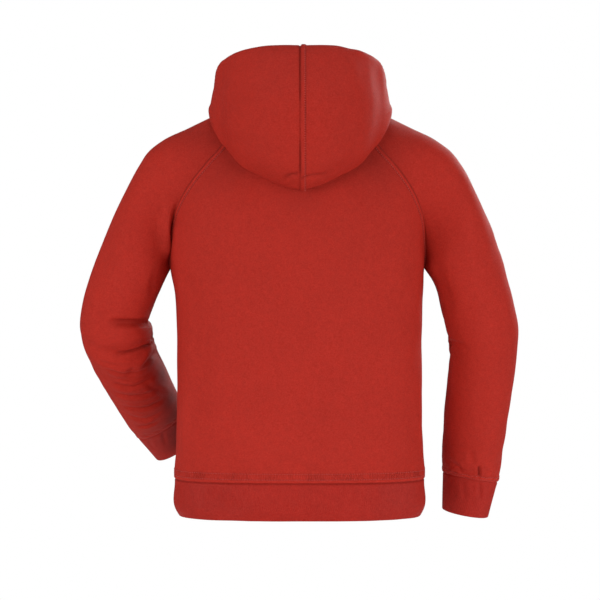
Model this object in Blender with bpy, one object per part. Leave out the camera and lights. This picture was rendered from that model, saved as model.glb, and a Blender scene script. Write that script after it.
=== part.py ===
"""A child's pullover hoodie with raglan sleeves, hollow and filled out as if worn.

Metres, +Z up. The front faces -Y, the wearer's left is +X, and the origin lies between the high
shoulder points. Each piece of cloth starts as a flat grid, is bent onto a smooth surface, and is
extruded inwards into a wall. The surfaces come from short tables, in millimetres and degrees,
that are read on smooth curves through their rows.
"""

from collections import namedtuple

import bmesh
import bpy
import numpy as np

MM = 0.001

FLEECE_WALL = 2.0 * MM
RIB_WALL = 2.8 * MM
SEAM_GAP = 0.3 * MM

HEM_BOTTOM_Z = -519.5 * MM
HEM_SEAM_Z = -472 * MM
UNDERARM_Z = -200 * MM
BACK_NECK_Z = -18 * MM
FRONT_NECK_Z = -76 * MM
CUFF_SEAM = 9.6  # station of the sleeve tables
CUFF_END = 11.0
YOKE_LENGTH = 250 * MM  # of a sleeve from neck to underarm
ARM_ROW_LENGTH = 33 * MM  # from one row of the sleeve tables to the next
ARMHOLE_EASING = 34 * MM  # how far the turn from yoke to arm is spread

HALF_PANEL_COLUMNS = 10
PANEL_ROWS = 9  # below the armhole, and as many beside it
HEM_ROWS = (0, 0.16, 0.55, 1)
SLEEVE_COLUMNS = 20
LEFT_ARM_ROWS = (0.5, 1, 1.5, 2, 2.4, 2.75, 3.1, 3.45, 3.8, 4.15, 4.5) + (
    (4.9, 5.3, 5.7, 6.2, 6.8, 7.4, 8, 8.6, 9.15, CUFF_SEAM)
)
RIGHT_ARM_ROWS = (0.5, 1, 1.5, 2, 2.5, 3, 3.4, 3.8, 4.2, 4.6, 5) + (
    (5.5, 6, 6.6, 7.2, 7.8, 8.4, 9, 9.3, CUFF_SEAM)
)
CUFF_ROWS = 3

FLEECE_COLOUR = (0.42, 0.024, 0.018, 1.0)
RIB_COLOUR = (0.39, 0.021, 0.016, 1.0)
ROUGHNESS = 0.92

STEP = 1e-4  # of a surface's parameter, for reading its directions
SAME_POINT = 1e-7
EASING_WEIGHTS = ((-1, 0.1), (-0.5, 0.24), (0, 0.32), (0.5, 0.24), (1, 0.1))
HALF_OVAL_HANDLE = 4 / 3  # length of both handles of a cubic half oval, over its half depth


def smooth(knots, values, at):
    """Values at stations of the smooth curve through the rows (knot, values)."""
    knots = np.asarray(knots, float)
    values = np.asarray(values, float)
    slopes = np.gradient(values, knots, axis=0)
    low = np.clip(np.searchsorted(knots, at, side="right") - 1, 0, len(knots) - 2)
    span = knots[low + 1] - knots[low]
    f = np.clip((at - knots[low]) / span, 0, 1)[..., None]
    span = span[..., None]
    return (
        values[low] * (1 + 2 * f) * (1 - f) ** 2
        + values[low + 1] * (3 - 2 * f) * f**2
        + slopes[low] * span * f * (1 - f) ** 2
        - slopes[low + 1] * span * (1 - f) * f**2
    )


class Table:
    """Rows of named columns. at(key) reads every column on a smooth curve over the first one."""

    def __init__(self, columns, *rows):
        self.row = namedtuple("Row", columns.split()[1:])
        self.data = np.array(rows, float)

    def at(self, key):
        values = smooth(self.data[:, 0], self.data[:, 1:], key)
        return self.row(*np.moveaxis(values, -1, 0))


# Sections of the body, bottom to top. Above the underarm the sleeves cover its sides.
BODY = Table(
    "z left_width right_width back_depth front_depth squareness",
    (-519.5, 156.5, 155.5, 93.5, 95.0, 2.9),
    (-511, 161.5, 160.0, 96.0, 98.0, 2.9),
    (-474, 162.5, 160.5, 97.0, 99.5, 2.9),
    (-462, 163.0, 161.5, 98.0, 100.5, 2.8),
    (-440, 161.5, 159.5, 96.0, 99.5, 2.7),
    (-350, 159.5, 157.5, 92.0, 98.0, 2.6),
    (-280, 160.0, 158.0, 93.0, 100.0, 2.5),
    (-235, 162.5, 159.2, 95.5, 101.5, 2.4),
    (-200, 168.5, 161.0, 98.0, 101.0, 2.4),
    (-150, 169.0, 163.0, 98.5, 99.0, 2.4),
    (-110, 165.0, 161.0, 95.0, 95.0, 2.4),
    (-75, 157.0, 155.0, 87.0, 89.0, 2.4),
    (-45, 146.0, 145.0, 75.0, 79.0, 2.4),
    (-20, 132.0, 132.0, 63.0, 68.0, 2.4),
    (15, 108.0, 108.0, 50.0, 54.0, 2.4),
)

# The raglan seams, from the underarm (0) to the neck (1): angle round the body from its side, height.
BACK_RAGLAN = Table(
    "along angle z",
    (0.00, 0.0, -200),
    (0.14, 6.5, -175),
    (0.30, 11.5, -143),
    (0.43, 16.5, -118),
    (0.57, 22.5, -91),
    (0.69, 27.5, -69),
    (0.83, 32.0, -44),
    (1.00, 31.0, -9),
)
FRONT_RAGLAN = Table(
    "along angle z",
    (0.00, 0.0, -200),
    (0.14, 7.5, -177),
    (0.30, 14.0, -147),
    (0.43, 20.0, -123),
    (0.57, 26.5, -98),
    (0.69, 31.5, -77),
    (0.83, 37.0, -54),
    (1.00, 38.0, -26),
)

# The top of each shoulder, from over the armhole (0) to the neck (1).
LEFT_SHOULDER = Table(
    "along x z",
    (0.00, 259.0, -173.0),
    (0.19, 240.0, -128.0),
    (0.32, 224.5, -97.0),
    (0.455, 208.5, -67.0),
    (0.53, 197.5, -50.0),
    (0.62, 178.0, -34.5),
    (0.756, 145.5, -19.0),
    (0.87, 118.0, -5.5),
    (1.00, 90.0, 7.0),
)
RIGHT_SHOULDER = Table(
    "along x z",
    (0.00, 257.0, -170.0),
    (0.19, 239.5, -128.0),
    (0.32, 225.0, -97.0),
    (0.455, 209.0, -67.0),
    (0.53, 197.0, -50.5),
    (0.62, 176.5, -35.0),
    (0.756, 146.5, -20.0),
    (0.87, 118.0, -6.0),
    (1.00, 90.0, 7.0),
)

# How a sleeve leaves its raglan seams: valley is the angle by which it turns away from the panel,
# 180 where the two lie back to back under the arm. The leads are handles of the sleeve's arcs.
YOKE = Table(
    "along valley seam_lead top_lead",
    (0.00, 180, 64, 64),
    (0.14, 138, 58, 63),
    (0.30, 92, 50, 60),
    (0.43, 60, 44, 55),
    (0.57, 36, 38, 49),
    (0.69, 24, 33, 43),
    (0.83, 14, 26, 32),
    (1.00, 8, 14, 16),
)

# The sleeves and cuffs, from the underarm (0) over the cuff seam to the cuff's end: the outer and
# the inner outline, the place front to back, half the depth, and the lean of the section.
LEFT_SLEEVE = Table(
    "along outer_x outer_z inner_x inner_z y half_depth lean",
    (0.0, 259.5, -173, 168.5, -200, 0, 48.0, 0),
    (1.0, 271.0, -205, 180.0, -225, 0, 47.0, 0),
    (2.0, 281.0, -236, 190.5, -249, -3, 46.5, 0),
    (3.0, 287.0, -266, 197.0, -270, -8, 46.0, 0),
    (4.0, 286.0, -288, 195.0, -284, -16, 46.0, 0),
    (5.0, 279.5, -312, 191.5, -299, -30, 45.0, 0),
    (6.0, 269.0, -340, 186.0, -317, -51, 43.5, 0),
    (7.0, 255.0, -371, 177.5, -338, -78, 41.0, 0),
    (8.0, 240.5, -401, 169.5, -362, -107, 38.0, -6),
    (9.0, 230.0, -420, 162.0, -379, -127, 35.0, -18),
    (9.6, 222.5, -431, 160.0, -393, -140, 31.0, -27),
    (10.3, 211.5, -447, 154.0, -412, -160, 28.0, -27),
    (11.0, 200.5, -463, 147.0, -429, -179, 26.5, -24),
)
RIGHT_SLEEVE = Table(
    "along outer_x outer_z inner_x inner_z y half_depth lean",
    (0.0, 256.0, -170, 161.0, -200, 0, 48.0, 0),
    (1.0, 266.0, -203, 174.5, -221, 0, 47.0, 0),
    (2.0, 275.5, -236, 182.5, -247, -3, 46.5, 0),
    (3.0, 283.0, -272, 189.0, -276, -8, 46.0, 0),
    (4.0, 283.5, -303, 194.5, -304, -13, 45.0, 0),
    (5.0, 280.5, -335, 194.0, -334, -20, 44.0, 0),
    (6.0, 277.5, -366, 192.0, -364, -29, 42.5, 0),
    (7.0, 273.5, -400, 190.0, -397, -38, 40.5, 0),
    (8.0, 269.5, -434, 188.5, -430, -49, 38.0, 0),
    (9.0, 266.5, -464, 188.5, -455, -58, 34.5, -8),
    (9.6, 263.0, -484, 190.0, -471, -64, 30.5, -14),
    (10.3, 257.0, -508, 190.0, -497, -70, 28.0, -12),
    (11.0, 251.5, -532, 190.0, -521, -76, 26.5, -8),
)

# Large folds of the sleeves: the place along and around (0 outer edge, +1 inner edge by the back,
# -1 by the front), the half-sizes, the slant, and the height, negative for a trough.
Fold = namedtuple("Fold", "along around half_along half_around slant height")
LEFT_FOLDS = (
    Fold(2.75, 0.62, 0.40, 0.34, 0.0, -4.0),
    Fold(3.45, 0.80, 0.35, 0.22, 0.3, 3.5),
    Fold(4.15, 0.62, 0.28, 0.36, 0.7, -5.0),
    Fold(4.90, 0.62, 0.42, 0.34, 0.7, 3.0),
    Fold(5.60, 0.60, 0.36, 0.34, 0.8, -2.5),
    Fold(3.00, -0.75, 0.45, 0.30, 0.0, -5.0),
    Fold(4.10, -0.72, 0.40, 0.32, 0.0, 4.0),
    Fold(5.00, -0.74, 0.40, 0.30, 0.0, -4.5),
)
RIGHT_FOLDS = (
    Fold(3.90, 0.95, 0.45, 0.25, 0.0, -2.5),
    Fold(3.30, -0.80, 0.40, 0.30, 0.3, -3.5),
    Fold(4.60, -0.80, 0.45, 0.30, 0.3, -3.5),
)

# Sections of the hood, from centre back (0) round the neck to centre front (1). Each lies in an
# upright plane at an azimuth. It leaves the neck seam over a turn, and goes by its lowest fold, a
# hang, a belly, a back and a crest to the rim of the face opening. Places are out and up from the
# seam. The first row mirrors the third, so the halves meet smoothly.
HOOD = Table(
    "round azimuth turn_out turn_up fold_out fold_up hang_out hang_up belly_out belly_up"
    " back_out back_up crest_out crest_up rim_out rim_up",
    (-0.17, 109, 12, 1, 49, -71, 71, -52, 84, -9, 83, 41, 58, 88, 23, 76),
    (0.00, 90, 12, 0, 56, -87, 82, -67, 97, -14, 95, 45, 62, 91, 26, 79),
    (0.17, 71, 12, 1, 49, -71, 71, -52, 84, -9, 83, 41, 58, 88, 23, 76),
    (0.25, 62, 11, 1, 42, -59, 57, -38, 66, -3, 64, 39, 49, 81, 17, 71),
    (0.33, 50, 9, 2, 28, -35, 35, -14, 38, 4, 35, 36, 28, 69, 5, 61),
    (0.42, 34, 9, 3, 30, -11, 32, -2, 29, 8, 24, 29, 18, 45, 6, 41),
    (0.50, 12, 7, 4, 23, -3, 24, 3, 24, 9, 22, 23, 18, 35, 8, 32),
    (0.58, -10, 7, 4, 20, -1, 22, 4, 22, 11, 20, 22, 17, 33, 8, 30),
    (0.67, -35, 5, 3, 13, 2, 16, 8, 17, 14, 17, 24, 15, 34, 7, 31),
    (0.83, -65, 3, 3, 7, 5, 10, 9, 12, 14, 13, 21, 12, 28, 7, 28),
    (1.00, -90, 2, 2, 4, 5, 6, 8, 7, 12, 8, 16, 8, 21, 6, 24),
)
HOOD_STOPS = ("turn", "fold", "hang", "belly", "back", "crest", "rim")
HOOD_KNOTS = (0, 0.06, 0.30, 0.38, 0.54, 0.72, 0.88, 1)  # the neck seam and the stops, on a section
HOOD_ROWS = (0, 0.03, 0.06, 0.12, 0.18, 0.24, 0.3, 0.34, 0.38, 0.43, 0.48) + (
    (0.54, 0.6, 0.66, 0.72, 0.77, 0.82, 0.88, 0.94, 1)
)
BACK_NECK_END = 0.33  # round the neck, the back panel's edge ends here and the sleeve's begins
SLEEVE_NECK_END = 0.67


def unit(vectors):
    return vectors / np.linalg.norm(vectors, axis=-1, keepdims=True)


def points(x, y, z):
    return np.stack(np.broadcast_arrays(x, y, z), axis=-1)


def arc(start, start_lead, end_lead, end, at):
    """A curve from start to end with a handle at each, at stations 0 to 1."""
    f = at[..., None]
    return (
        start * (1 - f) ** 3
        + 3 * (start + start_lead) * f * (1 - f) ** 2
        + 3 * (end + end_lead) * f**2 * (1 - f)
        + end * f**3
    )


def body_surface(z, angle):
    """The body at a height and an angle, 0 at the wearer's left side and +90 degrees at centre back."""
    row = BODY.at(z / MM)
    width = np.where(np.cos(angle) > 0, row.left_width, row.right_width) * MM
    depth = np.where(np.sin(angle) > 0, row.back_depth, row.front_depth) * MM
    across = np.abs(np.cos(angle) / width) ** row.squareness
    through = np.abs(np.sin(angle) / depth) ** row.squareness
    radius = (across + through) ** (-1 / row.squareness)
    return points(radius * np.cos(angle), radius * np.sin(angle), z)


def panel_surface(face, height, across):
    """The back (face 1) or front (face -1) panel: height 0 hem seam, 1 underarm, 2 neck; across -1 to +1."""
    raglan = (BACK_RAGLAN if face > 0 else FRONT_RAGLAN).at(np.clip(height - 1, 0, 1))
    neck_z = BACK_NECK_Z if face > 0 else FRONT_NECK_Z
    centre_z = UNDERARM_Z + (neck_z - UNDERARM_Z) * np.clip(height - 1, 0, 1)
    z_beside_armhole = centre_z + (raglan.z * MM - centre_z) * across**2
    z_below = HEM_SEAM_Z + (UNDERARM_Z - HEM_SEAM_Z) * np.clip(height, 0, 1)
    z = np.where(height > 1, z_beside_armhole, z_below)
    from_centre = (np.pi / 2 - np.radians(raglan.angle)) * across
    return body_surface(z, face * (np.pi / 2 - from_centre))


def yoke_surface(side, along, around):
    """A sleeve above the underarm: along 0 to 1 at the neck; around 0 on top, +1 back seam, -1 front."""
    shoulder = (LEFT_SHOULDER if side > 0 else RIGHT_SHOULDER).at(along)
    top = points(side * shoulder.x, 0, shoulder.z) * MM
    shape = YOKE.at(along)
    face = np.where(around < 0, -1.0, 1.0)[..., None]

    def at_seam(rise, back_off):
        height = np.clip(1 + along + rise, 0, 2)
        across = side * (1 - back_off) + 0 * along
        return np.where(face > 0, panel_surface(1, height, across), panel_surface(-1, height, across))

    seam = at_seam(0, 0)
    run = unit(seam - at_seam(0, STEP))
    outwards = unit(np.cross(at_seam(STEP, 0) - at_seam(-STEP, 0), run)) * face * side
    valley = np.radians(shape.valley)[..., None]
    seam_lead = (run * np.cos(valley) + outwards * np.sin(valley)) * shape.seam_lead[..., None] * MM
    top_lead = points(0, 1, 0) * face * shape.top_lead[..., None] * MM
    return arc(top, top_lead, seam_lead, seam, np.abs(around))


def arm_surface(side, along, around):
    """A sleeve and cuff below the underarm: around 0 at the outer outline, -1 and +1 at the inner one."""
    table = LEFT_SLEEVE if side > 0 else RIGHT_SLEEVE

    def outlines(station):
        row = table.at(station)
        outer = points(side * row.outer_x, row.y, row.outer_z) * MM
        inner = points(side * row.inner_x, row.y, row.inner_z) * MM
        return outer, inner

    row = table.at(along)
    outer, inner = outlines(along)
    axis = unit(sum(outlines(along + STEP)) - sum(outlines(along - STEP)))
    width = unit(outer - inner)
    depth = unit(np.cross(width, axis)) * side
    lean = np.radians(row.lean)[..., None]
    depth = unit(depth * np.cos(lean) + axis * np.sin(lean))
    towards = np.where(around < 0, -1.0, 1.0)[..., None]
    lead = depth * towards * row.half_depth[..., None] * MM * HALF_OVAL_HANDLE
    return arc(outer, lead, lead, inner, np.abs(around))


def plain_sleeve(side, along, around):
    """A whole sleeve without folds: along -1 at the neck, 0 at the underarm, then its table's rows."""
    yoke = yoke_surface(side, np.clip(-along, 0, 1), around)
    return np.where(along[..., None] < 0, yoke, arm_surface(side, np.clip(along, 0, CUFF_END), around))


def eased_sleeve(side, along, around):
    """A whole sleeve without folds, with the turn from its yoke to its arm rounded off."""
    place = np.where(along < 0, along * YOKE_LENGTH, along * ARM_ROW_LENGTH)
    reach = ARMHOLE_EASING * np.exp(-((place / (1.5 * ARMHOLE_EASING)) ** 2)) * (1 - around**4)
    total = 0
    for offset, weight in EASING_WEIGHTS:
        moved = place + offset * reach
        moved = np.where(moved < 0, moved / YOKE_LENGTH, moved / ARM_ROW_LENGTH)
        total = total + weight * plain_sleeve(side, np.clip(moved, -1, CUFF_END), around)
    return total


def fold_height(folds, along, around):
    """How far the folds lift the cloth at a place on a sleeve."""
    height = 0 * along
    for fold in folds:
        off_around = around - fold.around
        off_along = along - fold.along - fold.slant * off_around
        spread = (off_along / fold.half_along) ** 2 + (off_around / fold.half_around) ** 2
        height = height + fold.height * MM * np.exp(-spread)
    return height


def normals(surface, u, v, u_range, v_range):
    """Unit normals of surface(u, v), from its directions on both sides, or one at an end of a range."""
    along = surface(np.clip(u + STEP, *u_range), v) - surface(np.clip(u - STEP, *u_range), v)
    around = surface(u, np.clip(v + STEP, *v_range)) - surface(u, np.clip(v - STEP, *v_range))
    return unit(np.cross(along, around))


def sleeve_surface(side, along, around):
    """A whole sleeve with its folds, which swell or sink along its outward normals."""
    folds = LEFT_FOLDS if side > 0 else RIGHT_FOLDS
    plain = normals(lambda u, v: eased_sleeve(side, u, v), along, around, (-1, CUFF_END), (-1, 1))
    lift = side * fold_height(folds, along, around)
    return eased_sleeve(side, along, around) + plain * lift[..., None]


def neck_seam(side, round_neck):
    """Half of the neck seam, from centre back (0) to centre front (1)."""
    on_sleeve = (round_neck - BACK_NECK_END) / (SLEEVE_NECK_END - BACK_NECK_END)
    on_front = (1 - round_neck) / (1 - SLEEVE_NECK_END)
    top = 2 + 0 * round_neck
    back = panel_surface(1, top, side * np.clip(round_neck / BACK_NECK_END, 0, 1))
    sleeve = yoke_surface(side, top - 1, np.clip(1 - 2 * on_sleeve, -1, 1))
    front = panel_surface(-1, top, side * np.clip(on_front, 0, 1))
    place = round_neck[..., None]
    return np.where(place < BACK_NECK_END, back, np.where(place < SLEEVE_NECK_END, sleeve, front))


def hood_surface(side, round_neck, up):
    """Half of the hood: round_neck 0 centre back to 1 centre front, up 0 neck seam to 1 rim."""
    row = HOOD.at(round_neck)
    azimuth = np.radians(row.azimuth)
    out = points(side * np.cos(azimuth), np.sin(azimuth), 0)
    rise = points(0, 0, 1)
    weights = smooth(HOOD_KNOTS, np.eye(len(HOOD_KNOTS)), up)
    place = neck_seam(side, round_neck)
    for index, stop in enumerate(HOOD_STOPS, start=1):
        offset = out * getattr(row, stop + "_out")[..., None] + rise * getattr(row, stop + "_up")[..., None]
        place = place + weights[..., index, None] * offset * MM
    return place


def draw_back(grid, closed):
    """The moves that draw each cut edge of a grid back by half a seam gap, towards the next points."""
    moves = np.zeros_like(grid)
    half = SEAM_GAP / 2
    moves[0] += unit(grid[1] - grid[0]) * half
    moves[-1] += unit(grid[-2] - grid[-1]) * half
    open_rows = ~closed
    moves[open_rows, 0] += unit(grid[open_rows, 1] - grid[open_rows, 0]) * half
    moves[open_rows, -1] += unit(grid[open_rows, -2] - grid[open_rows, -1]) * half
    split = np.flatnonzero(closed[1:] & open_rows[:-1]) + 1  # where an open grid becomes a tube
    for row in split:
        moves[row, (0, -1)] += unit(grid[row + 1, 0] - grid[row, 0]) * half
    return moves


def material(name, colour):
    made = bpy.data.materials.new(name)
    made.use_nodes = True
    shader = made.node_tree.nodes["Principled BSDF"]
    shader.inputs["Base Color"].default_value = colour
    shader.inputs["Roughness"].default_value = ROUGHNESS
    shader.inputs["Metallic"].default_value = 0.0
    return made


def cloth(name, colour, wall, surface, u_stations, v_stations, outside):
    """One piece of cloth: a grid bent onto surface(u, v) and extruded inwards into a wall.

    outside is +1 where the cross product of the u and v directions points out of the garment.
    """
    u, v = np.meshgrid(u_stations, v_stations, indexing="ij")
    outer = surface(u, v)
    ranges = (u_stations[0], u_stations[-1]), (v_stations[0], v_stations[-1])
    inner = outer - normals(surface, u, v, *ranges) * outside * wall
    closed = np.linalg.norm(outer[:, 0] - outer[:, -1], axis=-1) < SAME_POINT
    moves = draw_back(outer, closed)
    outer = (outer + moves).reshape(-1, 3)
    inner = (inner + moves).reshape(-1, 3)

    grid = bmesh.new()
    bmesh.ops.create_grid(grid, x_segments=len(v_stations) - 1, y_segments=len(u_stations) - 1, size=1)
    home = grid.verts.layers.int.new("home")
    for index, vertex in enumerate(grid.verts):
        vertex[home] = index
        vertex.co = outer[index]
    bmesh.ops.remove_doubles(grid, verts=grid.verts, dist=SAME_POINT)
    made = bmesh.ops.extrude_face_region(grid, geom=grid.faces[:], use_keep_orig=True)
    for vertex in made["geom"]:
        if isinstance(vertex, bmesh.types.BMVert):
            vertex.co = inner[vertex[home]]
    bmesh.ops.recalc_face_normals(grid, faces=grid.faces)
    mesh = bpy.data.meshes.new(name)
    grid.to_mesh(mesh)
    grid.free()
    mesh.shade_smooth()
    mesh.materials.append(material(name, colour))
    piece = bpy.data.objects.new(name, mesh)
    bpy.data.collections["kids_hoodie"].objects.link(piece)
    return piece


def make_panels():
    heights = np.concatenate([np.linspace(0, 1, PANEL_ROWS + 1), np.linspace(1, 2, PANEL_ROWS + 1)[1:]])
    across = np.linspace(-1, 1, 2 * HALF_PANEL_COLUMNS + 1)
    for name, face in (("back_panel", 1), ("front_panel", -1)):
        cloth(
            name,
            FLEECE_COLOUR,
            FLEECE_WALL,
            lambda u, v, face=face: panel_surface(face, u, v),
            heights,
            across,
            outside=face,
        )


def make_hem_band():
    heights = HEM_BOTTOM_Z + (HEM_SEAM_Z - HEM_BOTTOM_Z) * np.array(HEM_ROWS)
    angles = np.linspace(-np.pi, np.pi, 4 * HALF_PANEL_COLUMNS + 1)
    cloth("hem_band", RIB_COLOUR, RIB_WALL, body_surface, heights, angles, outside=-1)


def make_sleeves():
    yoke = np.linspace(-1, 0, PANEL_ROWS + 1)
    around = np.linspace(-1, 1, SLEEVE_COLUMNS + 1)
    for name, side, arm in (("left", 1, LEFT_ARM_ROWS), ("right", -1, RIGHT_ARM_ROWS)):
        surface = lambda u, v, side=side: sleeve_surface(side, u, v)
        sleeve = np.concatenate([yoke, arm])
        cloth("sleeve_" + name, FLEECE_COLOUR, FLEECE_WALL, surface, sleeve, around, outside=side)
        cuff = np.linspace(CUFF_SEAM, CUFF_END, CUFF_ROWS + 1)
        cloth("cuff_" + name, RIB_COLOUR, RIB_WALL, surface, cuff, around, outside=side)


def make_hood():
    back = np.linspace(0, BACK_NECK_END, HALF_PANEL_COLUMNS + 1)
    sleeve = np.linspace(BACK_NECK_END, SLEEVE_NECK_END, SLEEVE_COLUMNS + 1)
    front = np.linspace(SLEEVE_NECK_END, 1, HALF_PANEL_COLUMNS + 1)
    round_neck = np.concatenate([back, sleeve[1:], front[1:]])
    up = np.array(HOOD_ROWS)
    for name, side in (("left", 1), ("right", -1)):
        surface = lambda u, v, side=side: hood_surface(side, u, v)
        cloth("hood_" + name, FLEECE_COLOUR, FLEECE_WALL, surface, round_neck, up, outside=-side)


def main():
    for old in list(bpy.data.objects):
        bpy.data.objects.remove(old, do_unlink=True)
    collection = bpy.data.collections.new("kids_hoodie")
    bpy.context.scene.collection.children.link(collection)
    make_panels()
    make_hem_band()
    make_sleeves()
    make_hood()


main()
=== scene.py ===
"""The looks of a child's hoodie: thin cloth on the frame's form, with creases, seams and stitches.

Every piece is a grid bent onto the same smooth surfaces as its solid in the frame, from the same
tables, in millimetres and degrees. Relief in millimetres then lifts or sinks it along its normals.
"""

import math
from collections import namedtuple

import bmesh
import bpy
import numpy as np
from mathutils import Matrix, Vector


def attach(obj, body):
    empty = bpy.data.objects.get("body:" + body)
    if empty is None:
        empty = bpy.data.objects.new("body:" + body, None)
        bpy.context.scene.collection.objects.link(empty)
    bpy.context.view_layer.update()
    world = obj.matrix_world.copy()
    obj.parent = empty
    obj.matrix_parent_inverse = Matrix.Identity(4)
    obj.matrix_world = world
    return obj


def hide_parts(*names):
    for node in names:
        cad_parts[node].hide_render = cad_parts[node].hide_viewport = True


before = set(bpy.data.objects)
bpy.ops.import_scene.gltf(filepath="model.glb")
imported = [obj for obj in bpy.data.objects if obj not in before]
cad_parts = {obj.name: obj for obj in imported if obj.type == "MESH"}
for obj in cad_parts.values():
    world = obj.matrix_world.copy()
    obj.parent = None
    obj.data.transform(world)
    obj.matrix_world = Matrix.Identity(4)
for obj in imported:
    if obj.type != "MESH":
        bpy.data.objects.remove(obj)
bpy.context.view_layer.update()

MM = 0.001

FLEECE_WALL = 2.0  # mm
RIB_WALL = 2.8

HEM_BOTTOM_Z = -519.5 * MM
HEM_SEAM_Z = -472 * MM
UNDERARM_Z = -200 * MM
BACK_NECK_Z = -18 * MM
FRONT_NECK_Z = -76 * MM
CUFF_SEAM = 9.6  # station of the sleeve tables
CUFF_END = 11.0
YOKE_LENGTH = 250 * MM  # of a sleeve from neck to underarm
ARM_ROW_LENGTH = 33 * MM  # from one row of the sleeve tables to the next
ARMHOLE_EASING = 34 * MM  # how far the turn from yoke to arm is spread

STEP = 1e-4  # of a surface's parameter, for reading its directions
SAME_POINT = 1e-7
EASING_WEIGHTS = ((-1, 0.1), (-0.5, 0.24), (0, 0.32), (0.5, 0.24), (1, 0.1))
HALF_OVAL_HANDLE = 4 / 3  # length of both handles of a cubic half oval, over its half depth
JUST_INSIDE = 0.98  # of the way to an edge, for reading which way the cloth leaves it


def smooth(knots, values, at):
    """Values at stations of the smooth curve through the rows (knot, values)."""
    knots = np.asarray(knots, float)
    values = np.asarray(values, float)
    slopes = np.gradient(values, knots, axis=0)
    low = np.clip(np.searchsorted(knots, at, side="right") - 1, 0, len(knots) - 2)
    span = knots[low + 1] - knots[low]
    f = np.clip((at - knots[low]) / span, 0, 1)[..., None]
    span = span[..., None]
    return (
        values[low] * (1 + 2 * f) * (1 - f) ** 2
        + values[low + 1] * (3 - 2 * f) * f**2
        + slopes[low] * span * f * (1 - f) ** 2
        - slopes[low + 1] * span * (1 - f) * f**2
    )


class Table:
    """Rows of named columns. at(key) reads every column on a smooth curve over the first one."""

    def __init__(self, columns, *rows):
        self.row = namedtuple("Row", columns.split()[1:])
        self.data = np.array(rows, float)

    def at(self, key):
        values = smooth(self.data[:, 0], self.data[:, 1:], key)
        return self.row(*np.moveaxis(values, -1, 0))


# Sections of the body, bottom to top. Above the underarm the sleeves cover its sides.
BODY = Table(
    "z left_width right_width back_depth front_depth squareness",
    (-519.5, 156.5, 155.5, 93.5, 95.0, 2.9),
    (-511, 161.5, 160.0, 96.0, 98.0, 2.9),
    (-474, 162.5, 160.5, 97.0, 99.5, 2.9),
    (-462, 163.0, 161.5, 98.0, 100.5, 2.8),
    (-440, 161.5, 159.5, 96.0, 99.5, 2.7),
    (-350, 159.5, 157.5, 92.0, 98.0, 2.6),
    (-280, 160.0, 158.0, 93.0, 100.0, 2.5),
    (-235, 162.5, 159.2, 95.5, 101.5, 2.4),
    (-200, 168.5, 161.0, 98.0, 101.0, 2.4),
    (-150, 169.0, 163.0, 98.5, 99.0, 2.4),
    (-110, 165.0, 161.0, 95.0, 95.0, 2.4),
    (-75, 157.0, 155.0, 87.0, 89.0, 2.4),
    (-45, 146.0, 145.0, 75.0, 79.0, 2.4),
    (-20, 132.0, 132.0, 63.0, 68.0, 2.4),
    (15, 108.0, 108.0, 50.0, 54.0, 2.4),
)

# The raglan seams, from the underarm (0) to the neck (1): angle round the body from its side, height.
BACK_RAGLAN = Table(
    "along angle z",
    (0.00, 0.0, -200),
    (0.14, 6.5, -175),
    (0.30, 11.5, -143),
    (0.43, 16.5, -118),
    (0.57, 22.5, -91),
    (0.69, 27.5, -69),
    (0.83, 32.0, -44),
    (1.00, 31.0, -9),
)
FRONT_RAGLAN = Table(
    "along angle z",
    (0.00, 0.0, -200),
    (0.14, 7.5, -177),
    (0.30, 14.0, -147),
    (0.43, 20.0, -123),
    (0.57, 26.5, -98),
    (0.69, 31.5, -77),
    (0.83, 37.0, -54),
    (1.00, 38.0, -26),
)

# The top of each shoulder, from over the armhole (0) to the neck (1).
LEFT_SHOULDER = Table(
    "along x z",
    (0.00, 259.0, -173.0),
    (0.19, 240.0, -128.0),
    (0.32, 224.5, -97.0),
    (0.455, 208.5, -67.0),
    (0.53, 197.5, -50.0),
    (0.62, 178.0, -34.5),
    (0.756, 145.5, -19.0),
    (0.87, 118.0, -5.5),
    (1.00, 90.0, 7.0),
)
RIGHT_SHOULDER = Table(
    "along x z",
    (0.00, 257.0, -170.0),
    (0.19, 239.5, -128.0),
    (0.32, 225.0, -97.0),
    (0.455, 209.0, -67.0),
    (0.53, 197.0, -50.5),
    (0.62, 176.5, -35.0),
    (0.756, 146.5, -20.0),
    (0.87, 118.0, -6.0),
    (1.00, 90.0, 7.0),
)

# How a sleeve leaves its raglan seams: valley is the angle by which it turns away from the panel,
# 180 where the two lie back to back under the arm. The leads are handles of the sleeve's arcs.
YOKE = Table(
    "along valley seam_lead top_lead",
    (0.00, 180, 64, 64),
    (0.14, 138, 58, 63),
    (0.30, 92, 50, 60),
    (0.43, 60, 44, 55),
    (0.57, 36, 38, 49),
    (0.69, 24, 33, 43),
    (0.83, 14, 26, 32),
    (1.00, 8, 14, 16),
)

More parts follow.
